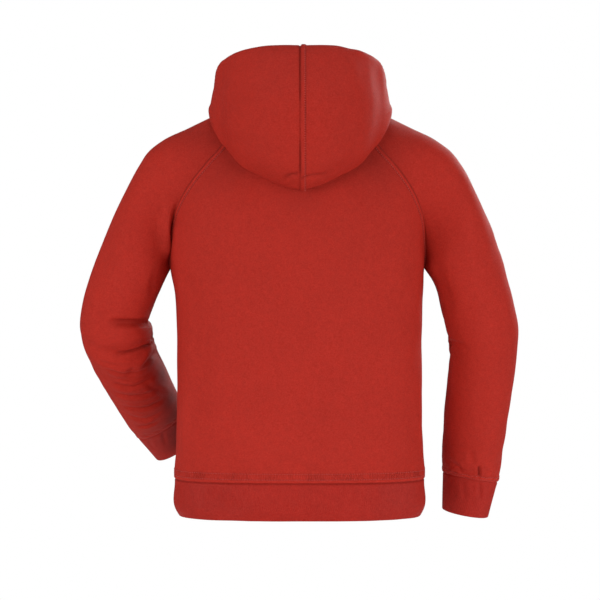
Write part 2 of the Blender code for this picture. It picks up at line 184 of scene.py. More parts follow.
# The sleeves and cuffs, from the underarm (0) over the cuff seam to the cuff's end: the outer and
# the inner outline, the place front to back, half the depth, and the lean of the section.
LEFT_SLEEVE = Table(
    "along outer_x outer_z inner_x inner_z y half_depth lean",
    (0.0, 259.5, -173, 168.5, -200, 0, 48.0, 0),
    (1.0, 271.0, -205, 180.0, -225, 0, 47.0, 0),
    (2.0, 281.0, -236, 190.5, -249, -3, 46.5, 0),
    (3.0, 287.0, -266, 197.0, -270, -8, 46.0, 0),
    (4.0, 286.0, -288, 195.0, -284, -16, 46.0, 0),
    (5.0, 279.5, -312, 191.5, -299, -30, 45.0, 0),
    (6.0, 269.0, -340, 186.0, -317, -51, 43.5, 0),
    (7.0, 255.0, -371, 177.5, -338, -78, 41.0, 0),
    (8.0, 240.5, -401, 169.5, -362, -107, 38.0, -6),
    (9.0, 230.0, -420, 162.0, -379, -127, 35.0, -18),
    (9.6, 222.5, -431, 160.0, -393, -140, 31.0, -27),
    (10.3, 211.5, -447, 154.0, -412, -160, 28.0, -27),
    (11.0, 200.5, -463, 147.0, -429, -179, 26.5, -24),
)
RIGHT_SLEEVE = Table(
    "along outer_x outer_z inner_x inner_z y half_depth lean",
    (0.0, 256.0, -170, 161.0, -200, 0, 48.0, 0),
    (1.0, 266.0, -203, 174.5, -221, 0, 47.0, 0),
    (2.0, 275.5, -236, 182.5, -247, -3, 46.5, 0),
    (3.0, 283.0, -272, 189.0, -276, -8, 46.0, 0),
    (4.0, 283.5, -303, 194.5, -304, -13, 45.0, 0),
    (5.0, 280.5, -335, 194.0, -334, -20, 44.0, 0),
    (6.0, 277.5, -366, 192.0, -364, -29, 42.5, 0),
    (7.0, 273.5, -400, 190.0, -397, -38, 40.5, 0),
    (8.0, 269.5, -434, 188.5, -430, -49, 38.0, 0),
    (9.0, 266.5, -464, 188.5, -455, -58, 34.5, -8),
    (9.6, 263.0, -484, 190.0, -471, -64, 30.5, -14),
    (10.3, 257.0, -508, 190.0, -497, -70, 28.0, -12),
    (11.0, 251.5, -532, 190.0, -521, -76, 26.5, -8),
)

# Large folds of the sleeves: the place along and around (0 outer edge, +1 inner edge by the back,
# -1 by the front), the half-sizes, the slant, and the height, negative for a trough.
Fold = namedtuple("Fold", "along around half_along half_around slant height")
LEFT_FOLDS = (
    Fold(2.75, 0.62, 0.40, 0.34, 0.0, -4.0),
    Fold(3.45, 0.80, 0.35, 0.22, 0.3, 3.5),
    Fold(4.15, 0.62, 0.28, 0.36, 0.7, -5.0),
    Fold(4.90, 0.62, 0.42, 0.34, 0.7, 3.0),
    Fold(5.60, 0.60, 0.36, 0.34, 0.8, -2.5),
    Fold(3.00, -0.75, 0.45, 0.30, 0.0, -5.0),
    Fold(4.10, -0.72, 0.40, 0.32, 0.0, 4.0),
    Fold(5.00, -0.74, 0.40, 0.30, 0.0, -4.5),
)
RIGHT_FOLDS = (
    Fold(3.90, 0.95, 0.45, 0.25, 0.0, -2.5),
    Fold(3.30, -0.80, 0.40, 0.30, 0.3, -3.5),
    Fold(4.60, -0.80, 0.45, 0.30, 0.3, -3.5),
)

# Sections of the hood, from centre back (0) round the neck to centre front (1). Each lies in an
# upright plane at an azimuth. It leaves the neck seam over a turn, and goes by its lowest fold, a
# hang, a belly, a back and a crest to the rim of the face opening. Places are out and up from the
# seam. The first row mirrors the third, so the halves meet smoothly.
HOOD = Table(
    "round azimuth turn_out turn_up fold_out fold_up hang_out hang_up belly_out belly_up"
    " back_out back_up crest_out crest_up rim_out rim_up",
    (-0.17, 109, 12, 1, 49, -71, 71, -52, 84, -9, 83, 41, 58, 88, 23, 76),
    (0.00, 90, 12, 0, 56, -87, 82, -67, 97, -14, 95, 45, 62, 91, 26, 79),
    (0.17, 71, 12, 1, 49, -71, 71, -52, 84, -9, 83, 41, 58, 88, 23, 76),
    (0.25, 62, 11, 1, 42, -59, 57, -38, 66, -3, 64, 39, 49, 81, 17, 71),
    (0.33, 50, 9, 2, 28, -35, 35, -14, 38, 4, 35, 36, 28, 69, 5, 61),
    (0.42, 34, 9, 3, 30, -11, 32, -2, 29, 8, 24, 29, 18, 45, 6, 41),
    (0.50, 12, 7, 4, 23, -3, 24, 3, 24, 9, 22, 23, 18, 35, 8, 32),
    (0.58, -10, 7, 4, 20, -1, 22, 4, 22, 11, 20, 22, 17, 33, 8, 30),
    (0.67, -35, 5, 3, 13, 2, 16, 8, 17, 14, 17, 24, 15, 34, 7, 31),
    (0.83, -65, 3, 3, 7, 5, 10, 9, 12, 14, 13, 21, 12, 28, 7, 28),
    (1.00, -90, 2, 2, 4, 5, 6, 8, 7, 12, 8, 16, 8, 21, 6, 24),
)
HOOD_STOPS = ("turn", "fold", "hang", "belly", "back", "crest", "rim")
HOOD_KNOTS = (0, 0.06, 0.30, 0.38, 0.54, 0.72, 0.88, 1)  # the neck seam and the stops, on a section
BACK_NECK_END = 0.33  # round the neck, the back panel's edge ends here and the sleeve's begins
SLEEVE_NECK_END = 0.67


def unit(vectors):
    return vectors / np.linalg.norm(vectors, axis=-1, keepdims=True)


def points(x, y, z):
    return np.stack(np.broadcast_arrays(x, y, z), axis=-1)


def arc(start, start_lead, end_lead, end, at):
    """A curve from start to end with a handle at each, at stations 0 to 1."""
    f = at[..., None]
    return (
        start * (1 - f) ** 3
        + 3 * (start + start_lead) * f * (1 - f) ** 2
        + 3 * (end + end_lead) * f**2 * (1 - f)
        + end * f**3
    )


def body_surface(z, angle):
    """The body at a height and an angle, 0 at the wearer's left side and +90 degrees at centre back."""
    row = BODY.at(z / MM)
    width = np.where(np.cos(angle) > 0, row.left_width, row.right_width) * MM
    depth = np.where(np.sin(angle) > 0, row.back_depth, row.front_depth) * MM
    across = np.abs(np.cos(angle) / width) ** row.squareness
    through = np.abs(np.sin(angle) / depth) ** row.squareness
    radius = (across + through) ** (-1 / row.squareness)
    return points(radius * np.cos(angle), radius * np.sin(angle), z)


def panel_surface(face, height, across):
    """The back (face 1) or front (face -1) panel: height 0 hem seam, 1 underarm, 2 neck; across -1 to +1."""
    raglan = (BACK_RAGLAN if face > 0 else FRONT_RAGLAN).at(np.clip(height - 1, 0, 1))
    neck_z = BACK_NECK_Z if face > 0 else FRONT_NECK_Z
    centre_z = UNDERARM_Z + (neck_z - UNDERARM_Z) * np.clip(height - 1, 0, 1)
    z_beside_armhole = centre_z + (raglan.z * MM - centre_z) * across**2
    z_below = HEM_SEAM_Z + (UNDERARM_Z - HEM_SEAM_Z) * np.clip(height, 0, 1)
    z = np.where(height > 1, z_beside_armhole, z_below)
    from_centre = (np.pi / 2 - np.radians(raglan.angle)) * across
    return body_surface(z, face * (np.pi / 2 - from_centre))


def yoke_surface(side, along, around):
    """A sleeve above the underarm: along 0 to 1 at the neck; around 0 on top, +1 back seam, -1 front."""
    shoulder = (LEFT_SHOULDER if side > 0 else RIGHT_SHOULDER).at(along)
    top = points(side * shoulder.x, 0, shoulder.z) * MM
    shape = YOKE.at(along)
    face = np.where(around < 0, -1.0, 1.0)[..., None]

    def at_seam(rise, back_off):
        height = np.clip(1 + along + rise, 0, 2)
        across = side * (1 - back_off) + 0 * along
        return np.where(face > 0, panel_surface(1, height, across), panel_surface(-1, height, across))

    seam = at_seam(0, 0)
    run = unit(seam - at_seam(0, STEP))
    outwards = unit(np.cross(at_seam(STEP, 0) - at_seam(-STEP, 0), run)) * face * side
    valley = np.radians(shape.valley)[..., None]
    seam_lead = (run * np.cos(valley) + outwards * np.sin(valley)) * shape.seam_lead[..., None] * MM
    top_lead = points(0, 1, 0) * face * shape.top_lead[..., None] * MM
    return arc(top, top_lead, seam_lead, seam, np.abs(around))


def arm_surface(side, along, around):
    """A sleeve and cuff below the underarm: around 0 at the outer outline, -1 and +1 at the inner one."""
    table = LEFT_SLEEVE if side > 0 else RIGHT_SLEEVE

    def outlines(station):
        row = table.at(station)
        outer = points(side * row.outer_x, row.y, row.outer_z) * MM
        inner = points(side * row.inner_x, row.y, row.inner_z) * MM
        return outer, inner

    row = table.at(along)
    outer, inner = outlines(along)
    axis = unit(sum(outlines(along + STEP)) - sum(outlines(along - STEP)))
    width = unit(outer - inner)
    depth = unit(np.cross(width, axis)) * side
    lean = np.radians(row.lean)[..., None]
    depth = unit(depth * np.cos(lean) + axis * np.sin(lean))
    towards = np.where(around < 0, -1.0, 1.0)[..., None]
    lead = depth * towards * row.half_depth[..., None] * MM * HALF_OVAL_HANDLE
    return arc(outer, lead, lead, inner, np.abs(around))


def plain_sleeve(side, along, around):
    """A whole sleeve without folds: along -1 at the neck, 0 at the underarm, then its table's rows."""
    yoke = yoke_surface(side, np.clip(-along, 0, 1), around)
    return np.where(along[..., None] < 0, yoke, arm_surface(side, np.clip(along, 0, CUFF_END), around))


def eased_sleeve(side, along, around):
    """A whole sleeve without folds, with the turn from its yoke to its arm rounded off."""
    place = np.where(along < 0, along * YOKE_LENGTH, along * ARM_ROW_LENGTH)
    reach = ARMHOLE_EASING * np.exp(-((place / (1.5 * ARMHOLE_EASING)) ** 2)) * (1 - around**4)
    total = 0
    for offset, weight in EASING_WEIGHTS:
        moved = place + offset * reach
        moved = np.where(moved < 0, moved / YOKE_LENGTH, moved / ARM_ROW_LENGTH)
        total = total + weight * plain_sleeve(side, np.clip(moved, -1, CUFF_END), around)
    return total


def fold_height(folds, along, around):
    """How far the folds lift the cloth at a place on a sleeve."""
    height = 0 * along
    for fold in folds:
        off_around = around - fold.around
        off_along = along - fold.along - fold.slant * off_around
        spread = (off_along / fold.half_along) ** 2 + (off_around / fold.half_around) ** 2
        height = height + fold.height * MM * np.exp(-spread)
    return height


def normals(surface, u, v, u_range, v_range):
    """Unit normals of surface(u, v), from its directions on both sides, or one at an end of a range."""
    along = surface(np.clip(u + STEP, *u_range), v) - surface(np.clip(u - STEP, *u_range), v)
    around = surface(u, np.clip(v + STEP, *v_range)) - surface(u, np.clip(v - STEP, *v_range))
    return unit(np.cross(along, around))


def sleeve_surface(side, along, around):
    """A whole sleeve with its folds, which swell or sink along its outward normals."""
    folds = LEFT_FOLDS if side > 0 else RIGHT_FOLDS
    plain = normals(lambda u, v: eased_sleeve(side, u, v), along, around, (-1, CUFF_END), (-1, 1))
    lift = side * fold_height(folds, along, around)
    return eased_sleeve(side, along, around) + plain * lift[..., None]


def neck_seam(side, round_neck):
    """Half of the neck seam, from centre back (0) to centre front (1)."""
    on_sleeve = (round_neck - BACK_NECK_END) / (SLEEVE_NECK_END - BACK_NECK_END)
    on_front = (1 - round_neck) / (1 - SLEEVE_NECK_END)
    top = 2 + 0 * round_neck
    back = panel_surface(1, top, side * np.clip(round_neck / BACK_NECK_END, 0, 1))
    sleeve = yoke_surface(side, top - 1, np.clip(1 - 2 * on_sleeve, -1, 1))
    front = panel_surface(-1, top, side * np.clip(on_front, 0, 1))
    place = round_neck[..., None]
    return np.where(place < BACK_NECK_END, back, np.where(place < SLEEVE_NECK_END, sleeve, front))


def hood_surface(side, round_neck, up):
    """Half of the hood: round_neck 0 centre back to 1 centre front, up 0 neck seam to 1 rim."""
    row = HOOD.at(round_neck)
    azimuth = np.radians(row.azimuth)
    out = points(side * np.cos(azimuth), np.sin(azimuth), 0)
    rise = points(0, 0, 1)
    weights = smooth(HOOD_KNOTS, np.eye(len(HOOD_KNOTS)), up)
    place = neck_seam(side, round_neck)
    for index, stop in enumerate(HOOD_STOPS, start=1):
        offset = out * getattr(row, stop + "_out")[..., None] + rise * getattr(row, stop + "_up")[..., None]
        place = place + weights[..., index, None] * offset * MM
    return place

# How far a sewn seam works into the cloth, in mm.
ROLL_REACH = 1.4
HELD_REACH = 4
# how far the painted shade along a seam reaches
PAINTED_SEAM_SHADE_REACH = 1.5
SEAM_RISE = 1.6  # from the seam up to the top of its folded allowance
SEAM_FALL = 0.9  # half the width of the slope at the allowance's far edge
SEAM_PUCKER_PITCH = 9.5
SEAM_PUCKER_REACH = 2  # from the seam, and beyond its allowance

# How far an edge rolls into its seam, in mm.
RAGLAN_ROLL = 1.8
SIDE_ROLL = 0.8
SLEEVE_SEAM_ROLL = 0.7
HEM_ROLL = 1.0
HEM_BAND_ROLL = 0.9
CUFF_ROLL = 0.7
HOOD_CENTRE_ROLL = 1.0

# Distances from a seam in mm: its stitched rows, and the crests that get a painted highlight.
RAGLAN_ROW = 5.4
HEM_ROWS = (5.2, 12.4)
CUFF_ROWS = (2.6, 7.0)
HOOD_HEM_ROW = 22
HOOD_CENTRE_ROW = 5.6
HOOD_CENTRE_DIP = 6.3
RAGLAN_CREST = 3.0
HEM_CREST = 2.3
CUFF_CRESTS = (1.3, 4.9)
CREST_REACH = 1.3

# How deep the cloth dips at a stitched row and how far, in mm, and how much painted shade it gets.
STITCH_DIP = 0.6
STITCH_DIP_REACH = 0.9
STITCH_DIP_PAINTED_SHADE = 1.05

# A stitch, in mm.
STITCH_PITCH = 3.1
CROSS_STITCH_PITCH = 2.9
STITCH_HALF_WIDTH = 0.34
STITCH_HALF_HEIGHT = 0.3
STITCH_HALF_LENGTH = 0.36  # as a share of the pitch
STITCH_LIFT = 0.1
STITCH_SIGHT = 0.4  # to both sides, for reading which way a row runs

# Creases: steps on a path from one of its places to the next, the reach of a crease over its width,
# how far cloth may turn from the eye and still be seen, and where a path counts as upright.
PATH_STEPS = 20
CREASE_REACH = 5
TURNED_AWAY = -0.25
UPRIGHT = 0.75
CREASE_TAPER = 0.35  # of a path, at both ends
SWELL_PLACE = 2  # from a crease to the crest of the swell beside it, over its width
EVENED_STEPS = 7  # over which the depth of a path is evened out
SHARP_CREASE = 0.7  # depth over width from which a crease gets painted shade
DEEPEST_CREASE_SHADE = 0.7

ROUNDING_START = 0.02  # of half the wall, from a free edge inwards
DRAPE_PITCHES = (61, 83)  # across and up the cloth, in mm

STATION_SAMPLES = 3000  # along a length that is divided into stations
STEP_GROWTH = 0.2  # of the steps between stations, per mm away from a sewn end


def bell(distance, reach):
    """1 at a distance of 0, falling off smoothly over a reach."""
    return np.exp(-((distance / reach) ** 2))


class Cloth:
    """A piece of cloth on a grid over surface(u, v): its form, its outward normals and its sizes in mm."""

    def __init__(self, surface, u_stations, v_stations, outside):
        self.u, self.v = np.meshgrid(u_stations, v_stations, indexing="ij")
        self.form = surface(self.u, self.v)
        ways = np.gradient(self.form, u_stations, v_stations, axis=(0, 1))
        self.normal = unit(np.cross(*ways)) * outside
        closed = np.linalg.norm(self.form[:, 0] - self.form[:, -1], axis=-1) < SAME_POINT
        shared = unit(self.normal[closed, 0] + self.normal[closed, -1])
        self.normal[closed, 0] = shared
        self.normal[closed, -1] = shared
        self.length = self.run(self.form)
        self.width = self.run(self.form.swapaxes(0, 1)).T
        self.sunk = np.zeros_like(self.form)  # how far the seams draw the cloth in, in mm
        self.loose = np.ones_like(self.u)  # 0 at a seam, which folds don't move, to 1 away from it
        self.crevice = np.zeros_like(self.u)  # painted shade: 1 deep in a seam or crease, below 0 a painted highlight on a seam's crest

    @staticmethod
    def run(lines):
        """Distance along the grid's columns, from their first points."""
        steps = np.linalg.norm(np.diff(lines, axis=0), axis=-1) / MM
        return np.concatenate([np.zeros_like(steps[:1]), np.cumsum(steps, axis=0)])

    def from_edge(self, edge):
        """Distance from an edge: "first" or "last" of the u stations, "left" or "right" of the v stations."""
        lines = self.form if edge in ("first", "last") else self.form.swapaxes(0, 1)
        if edge in ("last", "right"):
            lines = lines[::-1]
        edge_way = unit(np.gradient(lines[0], axis=0))
        slant = np.linalg.norm(np.cross(edge_way, unit(lines[1] - lines[0])), axis=-1)
        distance = self.run(lines) * slant
        if edge in ("last", "right"):
            distance = distance[::-1]
        return distance if edge in ("first", "last") else distance.T

    def deepen_painted_shade(self, crevice):
        """Makes the painted shade at least as deep as this one."""
        self.crevice = np.maximum(self.crevice, crevice)

    def sew_edge(self, edge, roll, inwards=None, share=1.0, painted_seam_shade=1.0):
        """Draws an edge in by roll, in mm, along its inward directions, or else against its normals, and
        paints shade along it.
        """
        distance = self.from_edge(edge)
        fall = (roll * bell(distance, ROLL_REACH) * share)[..., None]
        self.sunk += fall * (-self.normal if inwards is None else inwards)
        self.loose *= 1 - bell(distance, HELD_REACH) * share
        self.deepen_painted_shade(bell(distance, PAINTED_SEAM_SHADE_REACH) * share * painted_seam_shade)

    def topstitch(self, edge, rows, share=1.0):
        """The dips, in mm, of stitched rows at distances from an edge, with painted shade in them."""
        distance = self.from_edge(edge)
        dips = sum(bell(distance - row, STITCH_DIP_REACH) * share for row in rows)
        self.deepen_painted_shade(STITCH_DIP_PAINTED_SHADE * dips)
        return -STITCH_DIP * dips

    def paint_crest_highlight(self, edge, crests, share):
        """Paints the crests of folded seams lighter, at distances from an edge: a painted highlight."""
        distance = self.from_edge(edge)
        self.crevice -= sum(bell(distance - crest, CREST_REACH) for crest in crests) * share


def stations(length, seam_first, seam_last, fine=0.55, coarse=3.2, reach=9):
    """Stations 0 to 1 along a length in mm, close together near the ends that are sewn or folded."""
    place = np.linspace(0, length, STATION_SAMPLES)
    far = np.full_like(place, length)
    near = np.minimum(place if seam_first else far, length - place if seam_last else far)
    step = np.clip(fine + STEP_GROWTH * (near - reach), fine, coarse)
    count = np.concatenate([[0], np.cumsum(np.diff(place) / step[1:])])
    return np.interp(np.linspace(0, count[-1], int(np.ceil(count[-1])) + 1), count, place) / length


def step_between(value, low, high):
    """0 below low, 1 above high, and a smooth step between."""
    f = np.clip((value - low) / (high - low), 0, 1)
    return f * f * (3 - 2 * f)


def uneven(place, pitch, seed):
    """An uneven wave from about -1 to 1, with its crests about a pitch apart."""
    phase = 2 * np.pi * place / pitch
    wander = np.sin(0.31 * phase + seed) * 1.7
    return 0.55 * np.sin(phase + wander + 3 * seed) + 0.45 * np.sin(0.618 * phase + 2.3 * seed)


def seam(distance, place, raised=0.0, width=0.0, pucker=0.25, seed=1.0):
    """Height of cloth beside its seam, in mm, at a distance from it and a place along it.

    It stands raised on a folded allowance up to a width, with uneven puckers.
    """
    height = 0
    if raised:
        far_edge = step_between(distance, width - SEAM_FALL, width + SEAM_FALL)
        height = raised * step_between(distance, 0, SEAM_RISE) * (1 - far_edge)
    reach = SEAM_PUCKER_REACH
    near = step_between(distance, 0, reach) * bell(distance, (width or reach) + reach)
    return height + pucker * uneven(place, SEAM_PUCKER_PITCH, seed) * near


# A crease's path is given by its places x z in mm, as seen from the back (face 1) or the front (-1).
# width is half its width, depth is negative for a ridge, and above and below are how far the cloth
# swells beside it.
Crease = namedtuple("Crease", "face width depth above below path")


def crease_relief(cloth, creases):
    """Height of the cloth's creases in mm. Sharp creases also get painted shade."""
    places = cloth.form.reshape(-1, 3) / MM
    facing = cloth.normal.reshape(-1, 3)
    height = np.zeros(len(places))
    crevice = np.zeros(len(places))
    for crease in creases:
        stops = np.array(crease.path, float)
        ends = len(stops) - 1
        path = smooth(np.arange(ends + 1), stops, np.linspace(0, ends, PATH_STEPS * ends + 1))
        seen = np.flatnonzero(facing[:, 1] * crease.face > TURNED_AWAY)
        gaps = ((places[seen][:, None, (0, 2)] - path) ** 2).sum(axis=-1)
        depth = places[seen[np.argmin(gaps, axis=0)], 1]
        depth = np.pad(depth, EVENED_STEPS // 2, mode="edge")
        depth = np.convolve(depth, np.ones(EVENED_STEPS) / EVENED_STEPS, mode="valid")
        path = points(path[:, 0], depth, path[:, 1])
        margin = CREASE_REACH * crease.width
        low, high = path.min(axis=0) - margin, path.max(axis=0) + margin
        near = np.flatnonzero(((places > low) & (places < high)).all(axis=-1))
        offsets = places[near][:, None] - path
        reach = np.linalg.norm(offsets, axis=-1)
        nearest = np.argmin(reach, axis=-1)
        rows = np.arange(len(near))
        reach = reach[rows, nearest] / crease.width
        way = unit(np.gradient(path, axis=0))[nearest]
        upwards = np.cross(facing[near], way)
        upwards *= np.where(np.abs(way[:, 2]) > UPRIGHT, upwards[:, 0], upwards[:, 2])[:, None]
        over = (offsets[rows, nearest] * upwards).sum(axis=-1) > 0
        t = nearest / (len(path) - 1)
        taper = step_between(t, 0, CREASE_TAPER) * step_between(1 - t, 0, CREASE_TAPER)
        swell = np.where(over, crease.above, crease.below) * bell(reach - SWELL_PLACE, 1)
        trough = taper * bell(reach, 1)
        height[near] += taper * swell - crease.depth * trough
        # painted shade in the trough of a sharp crease
        crevice[near] += trough * np.clip(crease.depth / crease.width - SHARP_CREASE, 0, DEEPEST_CREASE_SHADE)
    cloth.deepen_painted_shade(crevice.reshape(cloth.u.shape))
    return height.reshape(cloth.u.shape)


def painted_shade_patches(cloth):
    """Painted shade, 0 to about 1, where other cloth keeps the light off."""
    patch_shade = np.zeros_like(cloth.u)
    for place, reach, share in PAINTED_SHADE_PLACES:
        gap = np.linalg.norm(cloth.form / MM - np.array(place, float), axis=-1)
        patch_shade += share * bell(gap, reach)
    return patch_shade


def raglan_inwards(side, face, along):
    """Unit directions into a raglan seam, at places from the underarm (0) to the neck (1)."""
    ahead = np.clip(along + STEP, 0, 1)
    behind = np.clip(along - STEP, 0, 1)
    edge = np.full_like(along, side)
    seam_way = panel_surface(face, 1 + ahead, edge) - panel_surface(face, 1 + behind, edge)
    inside = edge * JUST_INSIDE
    on_panel = unit(panel_surface(face, 1 + along, inside) - panel_surface(face, 1 + along, edge))
    around = np.full_like(along, face)
    inside = around * JUST_INSIDE
    on_sleeve = unit(yoke_surface(side, along, inside) - yoke_surface(side, along, around))
    panel_normal = unit(np.cross(seam_way, on_panel)) * side * face
    sleeve_normal = -unit(np.cross(seam_way, on_sleeve)) * side * face
    return -unit(panel_normal + sleeve_normal + on_panel + on_sleeve)


def drape(cloth, amount, seed):
    """The slight unevenness of cloth that nothing stretches, in mm."""
    x, y, z = np.moveaxis(cloth.form / MM, -1, 0)
    across, up = DRAPE_PITCHES
    return amount * uneven(x + 0.4 * z + y, across, seed) * uneven(z - 0.3 * x, up, seed + 1)


def gathered(cloth, edge, amount, pitch, reach, seed):
    """Gathers of cloth that is held by an edge, in mm."""
    return amount * uneven(cloth.width, pitch, seed) * bell(cloth.from_edge(edge), reach)


def link(name, data):
    """A new object in the scene."""
    made = bpy.data.objects.new(name, data)
    bpy.context.scene.collection.objects.link(made)
    return made


def make_piece(name, shape, looks):
    """A piece of the hoodie from a finished shape."""
    mesh = bpy.data.meshes.new(name)
    shape.to_mesh(mesh)
    shape.free()
    mesh.shade_smooth()
    for look in looks:
        mesh.materials.append(look)
    piece = link(name, mesh)
    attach(piece, "root")
    return piece


def make_cloth(node, cloth, height, wall, looks, free=()):
    """The piece as a closed thin shell, with its free edges rounded and its cut in the UV map, in metres."""
    cloth.surface = surface = cloth.form + (cloth.normal * height[..., None] + cloth.sunk) * MM
    edge = np.full_like(height, wall)
    for end in free:
        edge = np.minimum(edge, cloth.from_edge(end))
    round_off = np.sqrt(1 - (1 - np.clip(edge / (wall / 2), ROUNDING_START, 1)) ** 2)[..., None]
    half_wall = cloth.normal * wall / 2 * MM
    middle = surface - half_wall
    outer = (middle + half_wall * round_off).reshape(-1, 3)
    inner = (middle - half_wall * round_off).reshape(-1, 3)
    cut = np.stack([cloth.width - cloth.width[:, -1:] / 2, cloth.length], axis=-1).reshape(-1, 2) * MM
    form = cloth.form.reshape(-1, 3)
    crevice = cloth.crevice.reshape(-1)

    grid = bmesh.new()
    rows, columns = cloth.u.shape
    bmesh.ops.create_grid(grid, x_segments=columns - 1, y_segments=rows - 1, size=1)
    home = grid.verts.layers.int.new("home")
    flat_map = grid.loops.layers.uv.new("cut")
    # this layer carries the painted shade (below 0 a painted highlight) to the material
    depth = grid.verts.layers.float.new("crevice")
    for index, vertex in enumerate(grid.verts):
        vertex[home] = index
        vertex[depth] = crevice[index]
        vertex.co = form[index]
    for face in grid.faces:
        for loop in face.loops:
            loop[flat_map].uv = cut[loop.vert[home]]
    bmesh.ops.remove_doubles(grid, verts=grid.verts, dist=SAME_POINT)
    made = bmesh.ops.extrude_face_region(grid, geom=grid.faces[:], use_keep_orig=True)["geom"]
    inside = {part for part in made if isinstance(part, bmesh.types.BMVert)}
    for vertex in grid.verts:
        vertex.co = (inner if vertex in inside else outer)[vertex[home]]
    for part in made:
        if isinstance(part, bmesh.types.BMFace):
            part.material_index = 1
    bmesh.ops.recalc_face_normals(grid, faces=grid.faces)
    piece = make_piece(node + "_cloth", grid, looks)
    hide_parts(node)


def read_along(run, values, at):
    """Values x y z of a line, at distances along its run."""
    return np.stack([np.interp(at, run, values[:, k]) for k in range(3)], axis=-1)


def sewn_line(cloth, edge, distance, first=0.0, last=1.0):
    """A row of stitches at a distance in mm from an edge: the list of its places, and of its normals."""
    off = cloth.from_edge(edge)
    lines = cloth.surface, cloth.normal
    if edge in ("left", "right"):
        off = off.T
        lines = [line.swapaxes(0, 1) for line in lines]
    if edge in ("last", "right"):
        off = off[::-1]
        lines = [line[::-1] for line in lines]
    count = off.shape[1]
    chosen = range(int(first * (count - 1)), int(last * (count - 1)) + 1)
    return [np.array([read_along(off[:, k], line[:, k], distance) for k in chosen]) for line in lines]


def sew(name, lines, look, pitch=STITCH_PITCH, across=False):
    """Rows of stitches as one piece: each stitch is a small bead of thread along its line, or across it."""
    thread = bmesh.new()
    bead = bmesh.new()
    bmesh.ops.create_uvsphere(bead, u_segments=6, v_segments=4, radius=1)
    stitch = bpy.data.meshes.new("stitch")
    bead.to_mesh(stitch)
    bead.free()
    half_length = STITCH_HALF_LENGTH * pitch
    size = Matrix.Diagonal((STITCH_HALF_WIDTH * MM, STITCH_HALF_HEIGHT * MM, half_length * MM, 1))
    for place, normal in lines:
        run = np.concatenate([[0], np.cumsum(np.linalg.norm(np.diff(place, axis=0), axis=-1))])
        count = max(int(run[-1] / (pitch * MM)), 1)
        middles = (np.arange(count) + 0.5) * run[-1] / count
        sight = STITCH_SIGHT * MM
        spot = read_along(run, place, middles)
        up = unit(read_along(run, normal, middles))
        way = unit(read_along(run, place, middles + sight) - read_along(run, place, middles - sight))
        side = unit(np.cross(up, way))
        if across:
            way, side = side, way
        for k in range(count):
            turn = Matrix((side[k], np.cross(way[k], side[k]), way[k])).transposed().to_4x4()
            move = Matrix.Translation(Vector(spot[k] + up[k] * STITCH_LIFT * MM))
            place_stitch = move @ turn @ size
            stitch.transform(place_stitch)
            thread.from_mesh(stitch)
            stitch.transform(place_stitch.inverted())
    bpy.data.meshes.remove(stitch)
    bmesh.ops.recalc_face_normals(thread, faces=thread.faces)
    make_piece(name, thread, [look])


FLEECE_RED = (0.45, 0.0202, 0.0104, 1)
INSIDE_RED = (0.37, 0.020, 0.014, 1)
RIB_RED = (0.37, 0.0145, 0.0078, 1)
THREAD_RED = (0.49, 0.035, 0.026)
LINT_TINT = (0.2, 1.0, 0.8)
PAINTED_SHADE_STRENGTH = 0.42  # of the colour, taken off where the painted shade is full

# The puckered band above the hem, in mm: its middle, how far from it the puckers are full and end, and
# how deep they are.
PUCKER_MIDDLE = 8.8
PUCKER_FULL = 2.6
PUCKER_END = 5.2
PUCKER_DEPTH = 0.9
PUCKER_WANDER = 3.0  # turns by which patches shift them
PUCKER_CALM = 0.3  # of the patches' noise, where the cloth lies flat
PUCKER_SWELL = 2.2

# The knit and the rib: rows a loop climbs over a column, the height of its lowest place, the height of
# the valleys between columns and the columns' rise from them, and the ribs' swing about their middle.
LOOP_SLANT = 1.3
LOOP_FLOOR = 0.45
VALLEY_FLOOR = 0.4
COLUMN_RISE = 0.6
RIB_SWING = 0.5
RIB_MIDDLE = 0.5


class Nodes:
    """A short hand for placing nodes in a tree and linking them."""

    def __init__(self, tree):
        self.tree = tree

    def link(self, value, socket):
        self.tree.links.new(value, socket)

    def add(self, kind, settings=(), **inputs):
        """A new node. Its inputs are named, with _ for a blank, or numbered: i0, i1 and on."""
        node = self.tree.nodes.new(kind)
        for name, value in dict(settings).items():
            setattr(node, name, value)
        for name, value in inputs.items():
            numbered = name[0] == "i" and name[1:].isdigit()
            socket = node.inputs[int(name[1:]) if numbered else name.replace("_", " ")]
            if isinstance(value, bpy.types.NodeSocket):
                self.link(value, socket)
            else:
                socket.default_value = value
        return node

    def math(self, operation, *values):
        inputs = {f"i{place}": value for place, value in enumerate(values)}
        return self.add("ShaderNodeMath", {"operation": operation}, **inputs).outputs[0]

    def plus(self, one, other):
        return self.math("ADD", one, other)

    def times(self, one, other):
        return self.math("MULTIPLY", one, other)

    def wave(self, turns):
        return self.math("SINE", self.times(turns, 2 * math.pi))

    def swing(self, noise, share):
        """A noise of 0 to 1 as a swing about 0, of a share of its size."""
        return self.times(self.math("SUBTRACT", noise, 0.5), share)

    def noise(self, place, scale, detail, roughness=0.5):
        inputs = {"Vector": place, "Scale": scale, "Detail": detail, "Roughness": roughness}
        return self.add("ShaderNodeTexNoise", **inputs).outputs["Fac"]

    def scaled(self, colour, share):
        node = self.add("ShaderNodeVectorMath", {"operation": "SCALE"}, i0=colour, Scale=share)
        return node.outputs[0]

    def split(self, place):
        return self.add("ShaderNodeSeparateXYZ", i0=place).outputs

    def group(self, tree, **inputs):
        return self.add("ShaderNodeGroup", {"node_tree": tree}, **inputs).outputs

    def bump(self, strength, distance, height, **before):
        """A bump of a height, over a distance in mm."""
        inputs = {"Strength": strength, "Distance": distance * MM, "Height": height}
        return self.add("ShaderNodeBump", **inputs, **before).outputs[0]


SOCKETS = {1: "NodeSocketFloat", 3: "NodeSocketVector", 4: "NodeSocketColor"}  # by the size of a value


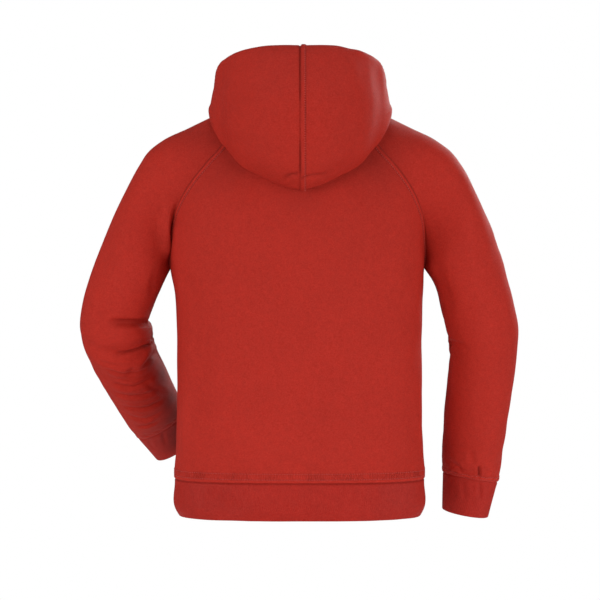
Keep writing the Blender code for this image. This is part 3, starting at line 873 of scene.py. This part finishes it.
def node_group(name, inputs, outputs=("Height",)):
    """A new group with its nodes, the inputs it is given and its results."""
    group = bpy.data.node_groups.new(name, "ShaderNodeTree")
    for label, value in inputs.items():
        kind = SOCKETS[np.size(value)]
        group.interface.new_socket(label, in_out="INPUT", socket_type=kind).default_value = value
    for label in outputs:
        kind = SOCKETS[4 if label == "Colour" else 1]
        group.interface.new_socket(label, in_out="OUTPUT", socket_type=kind)
    nodes = Nodes(group)
    return nodes, nodes.add("NodeGroupInput").outputs, nodes.add("NodeGroupOutput").inputs


def knit_group():
    """Stocking stitch on the cut: columns of slanted loops. Puts out its height."""
    sockets = {"Cut": (0, 0, 0), "Columns per metre": 900.0, "Rows per metre": 1150.0}
    nodes, given, result = node_group("knitted_loops", sockets)
    place = nodes.split(given["Cut"])
    across = nodes.math("PINGPONG", nodes.times(place[0], given["Columns per metre"]), 0.5)
    row = nodes.times(place[1], given["Rows per metre"])
    loops = nodes.math("PINGPONG", nodes.plus(row, nodes.times(across, LOOP_SLANT)), 0.5)
    valley = nodes.plus(nodes.times(nodes.wave(across), COLUMN_RISE), VALLEY_FLOOR)
    nodes.link(nodes.times(nodes.plus(loops, LOOP_FLOOR), valley), result["Height"])
    return nodes.tree


def rib_group():
    """Raised ribs up and down the cut. Puts out their height."""
    nodes, given, result = node_group("ribs", {"Cut": (0, 0, 0), "Ribs per metre": 420.0})
    wave = nodes.wave(nodes.times(nodes.split(given["Cut"])[0], given["Ribs per metre"]))
    nodes.link(nodes.plus(nodes.times(wave, RIB_SWING), RIB_MIDDLE), result["Height"])
    return nodes.tree


def tone_group():
    """Uneven dye: clouds, a mottle, a fine grain and pale lint in a colour, darkened by painted shade and
    lightened by painted highlights.
    """
    sockets = {
        "Place": (0, 0, 0),
        "Colour": (0.4, 0.03, 0.02, 1),
        "Clouds": 0.16,
        "Mottle": 0.34,
        "Grain": 0.5,
        "Lint": 0.03,
        "Crevice": 0.0,
    }
    nodes, given, result = node_group("dyed_tone_and_painted_shade", sockets, ("Colour", "Height"))
    cloud = nodes.noise(given["Place"], scale=14.0, detail=3.0, roughness=0.6)
    grain = nodes.noise(given["Place"], scale=620.0, detail=3.0, roughness=0.65)
    fleck = nodes.noise(given["Place"], scale=150.0, detail=3.0, roughness=0.7)
    soft = nodes.plus(nodes.swing(cloud, given["Clouds"]), nodes.swing(fleck, given["Mottle"]))
    fine = nodes.plus(nodes.swing(grain, given["Grain"]), 1.0)
    # painted shade darkens the colour; below 0 it is a painted highlight that lightens it
    painted_shade_factor = nodes.math("SUBTRACT", 1.0, nodes.times(given["Crevice"], PAINTED_SHADE_STRENGTH))
    toned = nodes.scaled(given["Colour"], nodes.times(nodes.plus(soft, fine), painted_shade_factor))
    lint = nodes.scaled(LINT_TINT, nodes.swing(grain, given["Lint"]))
    colour = nodes.add("ShaderNodeVectorMath", {"operation": "ADD"}, i0=toned, i1=lint).outputs[0]
    nodes.link(colour, result["Colour"])
    nodes.link(grain, result["Height"])
    return nodes.tree


def pucker_group():
    """Fine upright puckers of the cloth between the stitched rows above the hem. Puts out their height."""
    nodes, given, result = node_group("hem_puckers", {"Cut": (0, 0, 0), "Puckers per metre": 300.0})
    place = nodes.split(given["Cut"])
    patches = nodes.noise(given["Cut"], scale=40.0, detail=2.0)
    shift = nodes.times(patches, PUCKER_WANDER)
    turns = nodes.plus(nodes.times(place[0], given["Puckers per metre"]), shift)
    off = nodes.math("ABSOLUTE", nodes.math("SUBTRACT", place[1], PUCKER_MIDDLE * MM))
    ends = {"i1": PUCKER_FULL * MM, "i2": PUCKER_END * MM, "i3": 1.0, "i4": 0.0}
    between = nodes.add("ShaderNodeMapRange", {"interpolation_type": "SMOOTHSTEP"}, i0=off, **ends).outputs[0]
    drawn = nodes.times(nodes.math("SUBTRACT", patches, PUCKER_CALM), PUCKER_SWELL)
    strength = nodes.times(between, drawn)
    nodes.link(nodes.times(nodes.wave(turns), strength), result["Height"])
    return nodes.tree


def new_look(name, roughness):
    """A new material, with its nodes, its shader and the places on its object."""
    made = bpy.data.materials.new(name)
    made.use_nodes = True
    shader = made.node_tree.nodes["Principled BSDF"]
    shader.inputs["Roughness"].default_value = roughness
    nodes = Nodes(made.node_tree)
    return made, nodes, shader, nodes.add("ShaderNodeTexCoord").outputs["Object"]


def cloth_look(name, colour, groups, pattern, depth, fuzz, sheen=0.0, roughness=0.65, puckers=False):
    """A matte dyed cloth with a knitted pattern on its cut, a depth in mm, a fine fuzz, and painted shade and
    highlights from its mesh.
    """
    made, nodes, shader, place = new_look(name, roughness)
    shader.inputs["Specular IOR Level"].default_value = 0.18
    shader.inputs["Sheen Weight"].default_value = sheen
    shader.inputs["Sheen Roughness"].default_value = 0.45
    shader.inputs["Sheen Tint"].default_value = (1.0, 0.55, 0.5, 1)
    cut = nodes.add("ShaderNodeUVMap", {"uv_map": "cut"}).outputs[0]
    # the mesh's painted shade and painted highlight, which darken or lighten the dyed colour
    crevice = nodes.add("ShaderNodeAttribute", {"attribute_name": "crevice"}).outputs["Fac"]
    tone = nodes.group(groups["tone"], Place=place, Colour=colour, Crevice=crevice)
    loops = nodes.group(groups[pattern], Cut=cut)["Height"]
    fuzzy = nodes.plus(loops, nodes.times(tone["Height"], fuzz))
    bump = nodes.bump(strength=0.7, distance=depth, height=fuzzy)
    if puckers:
        drawn = nodes.group(groups["pucker"], Cut=cut)["Height"]
        bump = nodes.bump(strength=1.0, distance=PUCKER_DEPTH, height=drawn, Normal=bump)
    nodes.link(tone["Colour"], shader.inputs["Base Color"])
    nodes.link(bump, shader.inputs["Normal"])
    return made


def thread_look():
    """Spun thread, with an uneven twist."""
    made, nodes, shader, place = new_look("sewing_thread", 0.6)
    shader.inputs["Sheen Weight"].default_value = 0.2
    twist = nodes.noise(place, scale=1500.0, detail=2.0)
    tint = nodes.scaled(THREAD_RED, nodes.plus(nodes.times(twist, 0.4), 0.8))
    nodes.link(tint, shader.inputs["Base Color"])
    bump = nodes.bump(strength=0.5, distance=0.1, height=twist)
    nodes.link(bump, shader.inputs["Normal"])
    return made


CREASES = {
    "back_panel": (
        Crease(1, 13, 2.6, 0.4, 0.6, ((121, -228), (126, -291), (127, -344), (124, -394), (119, -452))),
        Crease(1, 9, -1.2, 0, 0, ((147, -330), (149, -380), (148, -420), (147, -452))),
        Crease(1, 18, 2.2, 0.3, 0.5, ((-126, -300), (-136, -365), (-141, -415), (-136, -458))),
        Crease(1, 16, 1.2, 0, 0, ((-150, -250), (-150, -300), (-148, -350))),
        Crease(1, 9, 1.0, 0.3, 0.3, ((112, -436), (85, -443), (50, -445))),
        Crease(1, 12, 1.6, 0.5, 0.4, ((158, -196), (147, -216), (135, -244), (129, -270))),
        Crease(1, 12, 1.6, 0.5, 0.4, ((-156, -194), (-146, -213), (-134, -240), (-127, -268))),
        Crease(1, 15, 1.1, 0, 0, ((119, -105), (108, -150), (98, -198), (95, -240))),
        Crease(1, 15, 1.1, 0, 0, ((-118, -110), (-109, -155), (-102, -198), (-100, -236))),
        Crease(1, 20, 1.5, 0, 0, ((70, -355), (20, -368), (-30, -368), (-78, -352))),
    ),
    "front_panel": (
        Crease(-1, 12, 3.0, 0.8, 0.5, ((158, -198), (144, -222), (126, -250), (110, -272))),
        Crease(-1, 12, 3.2, 0.8, 0.5, ((-156, -196), (-140, -220), (-122, -246), (-104, -270))),
        Crease(-1, 14, 2.8, 0, 0.5, ((118, -238), (124, -300), (121, -360), (116, -430))),
        Crease(-1, 15, 3.0, 0, 0.5, ((-120, -260), (-127, -320), (-125, -380), (-118, -446))),
        Crease(-1, 10, 1.9, 0.5, 0.4, ((104, -110), (88, -134), (66, -152), (40, -160))),
        Crease(-1, 10, 1.9, 0.5, 0.4, ((-100, -108), (-84, -134), (-62, -155), (-34, -164))),
        Crease(-1, 20, 2.4, 0, 0, ((66, -348), (20, -360), (-24, -362), (-70, -346))),
        Crease(-1, 9, 1.6, 0.4, 0.4, ((96, -440), (66, -447), (30, -446))),
    ),
    "sleeve_left": (
        Crease(
            1, 4.2, 5.2, 1.8, 1.0,
            ((252, -268), (238, -270), (225, -271), (211, -271), (198, -271), (186, -272)),
        ),
        Crease(1, 9, -9.5, 0, 0, ((161, -108), (168, -134), (172, -158), (173, -178), (173, -198))),
        Crease(1, 4, 1.6, 0.4, 0.4, ((184, -200), (188, -212), (191, -224), (190, -236))),
        Crease(
            1, 2.2, 4.6, 2.0, 1.0,
            ((246, -313), (232, -310), (218, -307), (206, -302), (192, -296), (178, -290)),
        ),
        Crease(1, 5.0, -2.2, 0.4, -3.4, ((184, -292), (193, -304), (202, -317), (210, -330), (214, -346))),
        Crease(1, 3.2, 1.5, 0.7, 0.8, ((264, -319), (252, -324), (240, -327), (226, -328))),
        Crease(1, 3.6, 2.6, 1.2, 1.0, ((258, -326), (242, -335), (224, -339), (208, -335), (194, -326))),
        Crease(1, 3.2, 2.5, 1.2, 0.9, ((250, -347), (236, -354), (220, -356), (204, -350), (186, -337))),
        Crease(1, 3.9, 2.5, 1.1, 1.0, ((252, -358), (238, -366), (222, -369), (200, -366), (184, -354))),
        Crease(1, 3.2, 2.5, 1.2, 0.8, ((238, -380), (226, -385), (208, -386), (190, -379), (176, -369))),
        Crease(1, 3.8, 1.8, 0.8, 0.8, ((240, -389), (224, -398), (210, -401), (196, -397), (180, -386))),
        Crease(1, 2.8, 2.0, 0.9, 0.6, ((222, -410), (212, -412), (200, -409), (188, -402))),
        Crease(1, 3.6, 1.5, 0.6, 0.4, ((206, -344), (196, -356), (184, -364), (174, -368))),
        Crease(1, 7, 1.6, 0.4, 0.4, ((164, -176), (176, -202), (188, -226), (197, -246))),
        Crease(1, 16, 1.5, 0, 0, ((236, -140), (246, -176), (256, -214), (262, -246))),
        Crease(-1, 4.4, 3.0, 1.2, 1.4, ((246, -276), (230, -279), (214, -281), (200, -283), (190, -285))),
        Crease(-1, 3.4, 3.4, 1.2, 1.0, ((238, -306), (224, -304), (210, -300), (198, -295), (188, -291))),
        Crease(-1, 4.0, 1.8, 0.8, 0.6, ((262, -318), (246, -322), (230, -320), (216, -314))),
        Crease(-1, 4.0, 1.6, 0.7, 0.7, ((250, -340), (236, -346), (218, -346), (202, -340))),
        Crease(-1, 3.8, 1.4, 0.6, 0.6, ((246, -366), (232, -372), (214, -372), (198, -366))),
        Crease(-1, 7, 1.8, 0.5, 0.5, ((166, -178), (178, -204), (190, -228), (198, -250))),
    ),
    "sleeve_right": (
        Crease(1, 3.4, 1.6, 0.6, 0.6, ((-186, -292), (-196, -296), (-206, -299), (-216, -300))),
        Crease(1, 4.0, 1.1, 0.4, 0.4, ((-190, -446), (-198, -455), (-208, -462), (-220, -464))),
        Crease(1, 2.8, 1.4, 0.5, 0.5, ((-202, -456), (-207, -462), (-214, -468), (-224, -471))),
        Crease(1, 3.4, 1.2, 0.4, 0.5, ((-222, -436), (-224, -448), (-228, -458))),
        Crease(1, 1.9, 4.2, 1.1, 1.1, ((-233, -457), (-234.5, -464), (-235, -471), (-236, -481))),
        Crease(1, 3.0, 1.1, 0.5, 0.4, ((-240, -462), (-246, -468), (-254, -471))),
        Crease(1, 9, 1.8, 0.4, 0.4, ((-166, -178), (-178, -206), (-190, -240), (-196, -272))),
        Crease(1, 16, 1.3, 0, 0, ((-238, -150), (-248, -190), (-256, -232), (-258, -270))),
        Crease(1, 12, 1.2, 0, 0, ((-236, -330), (-236, -370), (-234, -412))),
        Crease(-1, 4.0, 2.8, 1.0, 1.0, ((-190, -296), (-202, -301), (-216, -304), (-230, -303))),
        Crease(-1, 4.2, 2.0, 0.8, 0.7, ((-194, -322), (-208, -328), (-224, -330), (-238, -327))),
        Crease(-1, 3.4, 1.6, 0.5, 0.5, ((-198, -440), (-204, -454), (-210, -468))),
        Crease(-1, 3.2, 1.8, 0.6, 0.5, ((-220, -442), (-225, -456), (-229, -472))),
        Crease(-1, 3.2, 1.4, 0.5, 0.5, ((-240, -444), (-243, -460), (-245, -476))),
        Crease(-1, 8, 1.8, 0.5, 0.5, ((-166, -180), (-178, -208), (-190, -242), (-197, -270))),
    ),
    "cuff_left": (
        Crease(1, 2.4, 1.8, 0.5, 0.5, ((186, -404), (187, -416), (186, -430), (184, -444))),
        Crease(1, 3.0, 1.0, 0.3, 0.3, ((208, -424), (205, -438), (199, -452))),
    ),
    "cuff_right": (
        Crease(1, 2.4, 1.8, 0.5, 0.5, ((-235, -474), (-237, -487), (-238, -500), (-239, -514))),
        Crease(1, 3.2, 0.9, 0.3, 0.3, ((-214, -474), (-216, -492), (-218, -510))),
    ),
    "hem_band": (
        Crease(1, 13, 4.6, 0.4, 0.4, ((128, -484), (108, -493), (88, -503), (58, -514))),
        Crease(1, 10, 1.0, 0.2, 0.2, ((-30, -486), (-62, -497), (-100, -497))),
        Crease(-1, 9, 1.3, 0.3, 0.3, ((90, -484), (70, -496), (48, -506))),
        Crease(-1, 9, 1.4, 0.3, 0.3, ((-100, -484), (-82, -496), (-60, -508))),
    ),
    "hood_left": (
        Crease(1, 1.9, 2.4, 0.7, -1.0, ((-10, -85), (-3, -86), (4, -87), (11, -88), (18, -91), (27, -96))),
        Crease(1, 14, 1.5, 0.3, 0.3, ((96, 40), (84, 58), (62, 66), (36, 64))),
        Crease(1, 10, 1.2, 0.3, 0.3, ((102, -20), (88, -40), (68, -54), (44, -64))),
        Crease(1, 18, 1.4, 0, 0, ((70, 40), (74, 10), (66, -20), (52, -44))),
    ),
    "hood_right": (
        Crease(
            1, 1.9, 2.2, 0.7, -1.0,
            ((14, -95), (4, -93), (-4, -91), (-14, -89), (-28, -86.5), (-44, -83)),
        ),
        Crease(1, 14, 1.5, 0.3, 0.3, ((-94, 42), (-82, 56), (-62, 62), (-38, 62))),
        Crease(1, 10, 1.2, 0.3, 0.3, ((-102, -16), (-90, -36), (-70, -52), (-46, -62))),
        Crease(1, 18, 1.4, 0, 0, ((-66, 36), (-72, 8), (-66, -22), (-50, -46))),
    ),
}

# Painted shade under the hood, inside the bent forearm and at the hem's sides: place x y z and reach in mm,
# and share.
PAINTED_SHADE_PLACES = (
    ((94, 74, -70), 36, 0.36),
    ((-96, 73, -70), 38, 0.46),
    ((0, 94, -112), 26, 0.2),
    ((130, 44, -34), 30, 0.28),
    ((-132, 44, -34), 28, 0.12),
    ((196, -14, -321), 11, 0.8),
    ((181, -46, -341), 14, 0.9),
    ((171, -76, -376), 16, 1.0),
    ((166, -97, -402), 16, 1.1),
    ((166, -120, -425), 16, 1.0),
    ((169, -138, -442), 17, 0.9),
    ((137, 70, -492), 30, 0.22),
    ((90, 118, -497), 34, 0.26),
    ((-125, 88, -495), 34, 0.16),
)

# Lengths of the cloth in mm, by which its grids are spaced.
PANEL_SIDE = 272
PANEL_RAGLAN = 190
PANEL_WIDTH = 430
HEM_BAND_HEIGHT = 47.5
SLEEVE_ROUND = 290
ARM_SIDE = 310
CUFF_HEIGHT = 50
HALF_NECK = 300
HOOD_RISE = 330
HEM_BAND_STATIONS = 300  # round the body

BESIDE_SLEEVE = (0.97, 1.05)  # heights of a panel, 1 at the underarm, over which its raglan seam rises
RAGLAN_ROW_END = 0.985  # of a panel's stations, just short of the neck

# Heights z in mm over which the hood's centre seam turns deep or shallow, and its share where shallow.
DEEP_ABOVE = (-4, 4)
DEEP_FROM = (-90, -84)
DEEP_TO = (-54, -46)
SHALLOW_SHARE = 0.3


def make_panels(looks):
    """The back and the front. Gives the lines of their raglan and hem stitches."""
    below = stations(PANEL_SIDE, True, False)
    above = 1 + stations(PANEL_RAGLAN, False, False)
    heights = np.concatenate([below, above[1:]])
    across = 2 * stations(PANEL_WIDTH, True, True) - 1
    underarm = np.flatnonzero(heights >= 1)[0] / (len(heights) - 1)
    raglans, hems = [], []
    for node, face in (("back_panel", 1), ("front_panel", -1)):
        surface = lambda u, v, face=face: panel_surface(face, u, v)
        cloth = Cloth(surface, heights, across, outside=face)
        beside_sleeve = step_between(cloth.u, *BESIDE_SLEEVE)
        height = 0
        for edge, side, seed in (("left", -1, 0.4), ("right", 1, 1.9)):
            inwards = raglan_inwards(side, face, np.clip(heights - 1, 0, 1))[:, None]
            cloth.sew_edge(edge, RAGLAN_ROLL, inwards, share=cloth.u >= 1, painted_seam_shade=0.95)
            cloth.sew_edge(edge, SIDE_ROLL, share=cloth.u < 1, painted_seam_shade=0.5)
            raglan = seam(cloth.from_edge(edge), cloth.length, raised=1.3, width=6.2, seed=seed + face)
            height = height + beside_sleeve * (raglan + cloth.topstitch(edge, (RAGLAN_ROW,), beside_sleeve))
        cloth.sew_edge("first", HEM_ROLL, painted_seam_shade=0.75)
        height = height + seam(cloth.from_edge("first"), cloth.width, raised=0.45, width=14, seed=2.2)
        height = height + cloth.topstitch("first", HEM_ROWS, 0.4)
        height = height + cloth.loose * (drape(cloth, 0.9, 2.0 + face) + crease_relief(cloth, CREASES[node]))
        cloth.deepen_painted_shade(painted_shade_patches(cloth))
        for edge in ("left", "right"):
            cloth.paint_crest_highlight(edge, (RAGLAN_CREST,), 0.34 * beside_sleeve)
        cloth.paint_crest_highlight("first", (HEM_CREST,), 0.16)
        make_cloth(node, cloth, height, FLEECE_WALL, looks)
        for edge in ("left", "right"):
            raglans.append(sewn_line(cloth, edge, RAGLAN_ROW, underarm, RAGLAN_ROW_END))
        hems += [sewn_line(cloth, "first", row) for row in HEM_ROWS]
    return raglans, hems


def make_hem_band(looks):
    """The rib band round the hem, folded at its lower edge."""
    rows = stations(HEM_BAND_HEIGHT, True, True, fine=0.4, coarse=2.4, reach=2.5)
    heights = HEM_BOTTOM_Z + (HEM_SEAM_Z - HEM_BOTTOM_Z) * rows
    angles = np.linspace(-np.pi, np.pi, HEM_BAND_STATIONS)
    cloth = Cloth(body_surface, heights, angles, outside=-1)
    cloth.sew_edge("last", HEM_BAND_ROLL, painted_seam_shade=0.6)
    height = seam(cloth.from_edge("last"), cloth.width, pucker=0.2, seed=2.2)
    height = height + cloth.loose * (crease_relief(cloth, CREASES["hem_band"]) + drape(cloth, 0.4, 1.0))
    cloth.deepen_painted_shade(painted_shade_patches(cloth))
    make_cloth("hem_band", cloth, height, RIB_WALL, looks, free=("first",))


def make_sleeves(fleece, rib):
    """The sleeves and their cuffs. Gives the lines of the stitches above the cuffs."""
    lines = []
    around = 2 * stations(SLEEVE_ROUND, True, True, coarse=2.7, reach=3) - 1
    yoke = -1 + stations(YOKE_LENGTH / MM, False, False)
    arm = CUFF_SEAM * stations(ARM_SIDE, False, True, coarse=2.3, reach=7)
    rows = stations(CUFF_HEIGHT, True, True, fine=0.4, coarse=1.8, reach=2.5)
    cuff = CUFF_SEAM + (CUFF_END - CUFF_SEAM) * rows
    for name, side in (("left", 1), ("right", -1)):
        surface = lambda u, v, side=side: sleeve_surface(side, u, v)
        cloth = Cloth(surface, np.concatenate([yoke, arm[1:]]), around, outside=side)
        height = 0
        for edge, face, seed in (("left", -1, 0.7), ("right", 1, 2.6)):
            inwards = raglan_inwards(side, face, np.clip(-cloth.u[:, 0], 0, 1))[:, None]
            cloth.sew_edge(edge, RAGLAN_ROLL, inwards, share=cloth.u <= 0, painted_seam_shade=0.95)
            cloth.sew_edge(edge, SLEEVE_SEAM_ROLL, share=cloth.u > 0, painted_seam_shade=0.5)
            height = height + seam(cloth.from_edge(edge), cloth.length, pucker=0.18, seed=seed + side)
        cloth.sew_edge("last", CUFF_ROLL, painted_seam_shade=0.2)
        end = cloth.from_edge("last")
        height = height + seam(end, cloth.width, raised=0.6, width=8.2, pucker=0.6, seed=3.1)
        height = height + cloth.topstitch("last", CUFF_ROWS, 0.5)
        folds = gathered(cloth, "last", 0.9, 13, 16, 1.3 + side) + drape(cloth, 0.9, 3.0 + side)
        height = height + cloth.loose * (folds + crease_relief(cloth, CREASES["sleeve_" + name]))
        cloth.deepen_painted_shade(painted_shade_patches(cloth))
        cloth.paint_crest_highlight("last", CUFF_CRESTS, 0.34)
        make_cloth("sleeve_" + name, cloth, height, FLEECE_WALL, fleece)
        lines += [sewn_line(cloth, "last", row) for row in CUFF_ROWS]

        band = Cloth(surface, cuff, around, outside=side)
        band.sew_edge("first", CUFF_ROLL, painted_seam_shade=0.2)
        height = seam(band.from_edge("first"), band.width, pucker=0.2, seed=3.1)
        folds = gathered(band, "first", 0.5, 15, 12, 2.0 + side)
        height = height + band.loose * (folds + crease_relief(band, CREASES["cuff_" + name]))
        band.deepen_painted_shade(painted_shade_patches(band))
        make_cloth("cuff_" + name, band, height, RIB_WALL, rib, free=("last",))
    return lines


def make_hood(looks):
    """Both halves of the hood. Gives the lines of its centre and hem stitches."""
    centre, hems = [], []
    round_neck = stations(HALF_NECK, True, False, reach=8)
    up = stations(HOOD_RISE, False, True, fine=0.5, reach=3, coarse=2.3)
    for name, side in (("left", 1), ("right", -1)):
        surface = lambda u, v, side=side: hood_surface(side, u, v)
        cloth = Cloth(surface, round_neck, up, outside=-side)
        back = cloth.from_edge("first")
        rise = cloth.form[..., 2] / MM
        deep = step_between(rise, *DEEP_ABOVE) + step_between(rise, *DEEP_FROM) - step_between(rise, *DEEP_TO)
        share = SHALLOW_SHARE + (1 - SHALLOW_SHARE) * deep
        cloth.sew_edge("first", HOOD_CENTRE_ROLL, share=share, painted_seam_shade=0.75)
        cloth.loose = 1 - bell(back, 3)
        if side > 0:
            height = seam(back, cloth.width, pucker=0.2, seed=1.0)
        else:
            height = seam(back, cloth.width, raised=1.2, width=7.2, seed=1.0)
            height = height + cloth.topstitch("first", (HOOD_CENTRE_DIP,), 0.7 + 0.4 * bell(rise + 14, 14))
        rim = cloth.from_edge("right")
        height = height + seam(rim, cloth.length, raised=0.7, width=24, pucker=0.3, seed=4.0)
        height = height + cloth.topstitch("right", (HOOD_HEM_ROW,))
        folds = drape(cloth, 1.1, 5.0 + side) + crease_relief(cloth, CREASES["hood_" + name])
        height = height + cloth.loose * folds
        make_cloth("hood_" + name, cloth, height, FLEECE_WALL, looks, free=("right",))
        hems.append(sewn_line(cloth, "right", HOOD_HEM_ROW))
        if side < 0:
            centre.append(sewn_line(cloth, "first", HOOD_CENTRE_ROW))
    return centre, hems


# The studio, in metres.
CAMERA_PLACE = (0.0003, 2.5, -0.2418)
CAMERA_HALF_VIEW = 0.39  # at the middle of the hoodie
FLOOR_Z = -0.75
FLOOR_RADIUS = 0.7
WORLD_LIGHT = 0.17

# Name, place, target, size in metres and power in watts.
LIGHTS = (
    ("top_key", (0, 0.4, 2.4), (0, 0, -0.2), 1.2, 14),
    ("low_key", (0.1, 2.8, -0.3), (0, 0, -0.25), 1.2, 6),
    ("left_fill", (1.6, 2.3, 0.0), (0, 0, -0.2), 1.1, 24.5),
    ("right_fill", (-1.6, 2.3, 0.0), (0, 0, -0.2), 1.1, 9),
    ("left_edge", (2.5, 0.9, 0.2), (0, 0, -0.2), 1.2, 15),
    ("right_edge", (-2.5, 0.9, 0.2), (0, 0, -0.2), 1.2, 15),
    ("left_low", (2.2, 1.5, -1.0), (0, 0, -0.2), 1.1, 10),
    ("right_low", (-2.2, 1.5, -1.0), (0, 0, -0.2), 1.1, 22),
    ("front_fill", (-1.3, -2.2, 0.8), (0, 0, -0.2), 1.6, 42),
)


def make_floor():
    """A pale round floor, for views from above."""
    disc = bmesh.new()
    bmesh.ops.create_circle(disc, cap_ends=True, segments=96, radius=FLOOR_RADIUS)
    bmesh.ops.translate(disc, vec=(0, 0, FLOOR_Z), verts=disc.verts)
    mesh = bpy.data.meshes.new("floor")
    disc.to_mesh(mesh)
    disc.free()
    floor = link("floor", mesh)
    pale, nodes, shader, place = new_look("pale_floor", 0.9)
    speck = nodes.noise(place, scale=30.0, detail=2.0)
    grey = nodes.plus(nodes.times(speck, 0.02), 0.92)
    nodes.link(grey, shader.inputs["Base Color"])
    mesh.materials.append(pale)


def make_world():
    """A white backdrop that gives only a little light."""
    world = bpy.data.worlds.new("studio")
    world.use_nodes = True
    world.node_tree.nodes.clear()
    nodes = Nodes(world.node_tree)
    backdrop = nodes.add("ShaderNodeBackground", Color=(1, 1, 1, 1), Strength=1.0).outputs[0]
    glow = nodes.add("ShaderNodeBackground", Color=(1, 0.98, 0.97, 1), Strength=WORLD_LIGHT).outputs[0]
    seen = nodes.add("ShaderNodeLightPath").outputs["Is Camera Ray"]
    both = nodes.add("ShaderNodeMixShader", Fac=seen, i1=glow, i2=backdrop).outputs[0]
    nodes.add("ShaderNodeOutputWorld", Surface=both)
    bpy.context.scene.world = world


def make_lights():
    for name, place, target, size, power in LIGHTS:
        lamp = bpy.data.lights.new(name, "AREA")
        lamp.size = size
        lamp.energy = power
        lit = link(name, lamp)
        lit.location = place
        lit.rotation_euler = (Vector(target) - Vector(place)).to_track_quat("-Z", "Y").to_euler()


def make_camera():
    camera = bpy.data.cameras.new("camera")
    camera.angle = 2 * math.atan(CAMERA_HALF_VIEW / CAMERA_PLACE[1])
    eye = link("camera", camera)
    eye.location = CAMERA_PLACE
    eye.rotation_euler = (math.pi / 2, 0, math.pi)
    bpy.context.scene.camera = eye
    bpy.context.scene.view_settings.view_transform = "Standard"


def main():
    groups = {"tone": tone_group(), "knit": knit_group(), "rib": rib_group(), "pucker": pucker_group()}
    fleece = cloth_look("sweatshirt_knit", FLEECE_RED, groups, "knit", depth=0.4, fuzz=0.8)
    panel = cloth_look(
        "sweatshirt_knit_gathered_at_hem", FLEECE_RED, groups, "knit", depth=0.4, fuzz=0.8, puckers=True
    )
    brushed = cloth_look(
        "brushed_inside", INSIDE_RED, groups, "knit", depth=0.25, fuzz=1.6, sheen=0.15, roughness=0.9
    )
    rib = cloth_look("rib_knit", RIB_RED, groups, "rib", depth=0.2, fuzz=0.9)
    thread = thread_look()
    raglans, hems = make_panels([panel, brushed])
    make_hem_band([rib, rib])
    cuffs = make_sleeves([fleece, brushed], [rib, rib])
    hood_centre, hood_hems = make_hood([fleece, brushed])
    sew("raglan_stitches", raglans, thread)
    sew("hem_stitches", hems, thread)
    sew("cuff_stitches", cuffs, thread)
    sew("hood_hem_stitches", hood_hems, thread)
    sew("hood_centre_stitches", hood_centre, thread, pitch=CROSS_STITCH_PITCH, across=True)
    make_floor()
    make_world()
    make_lights()
    make_camera()


main()
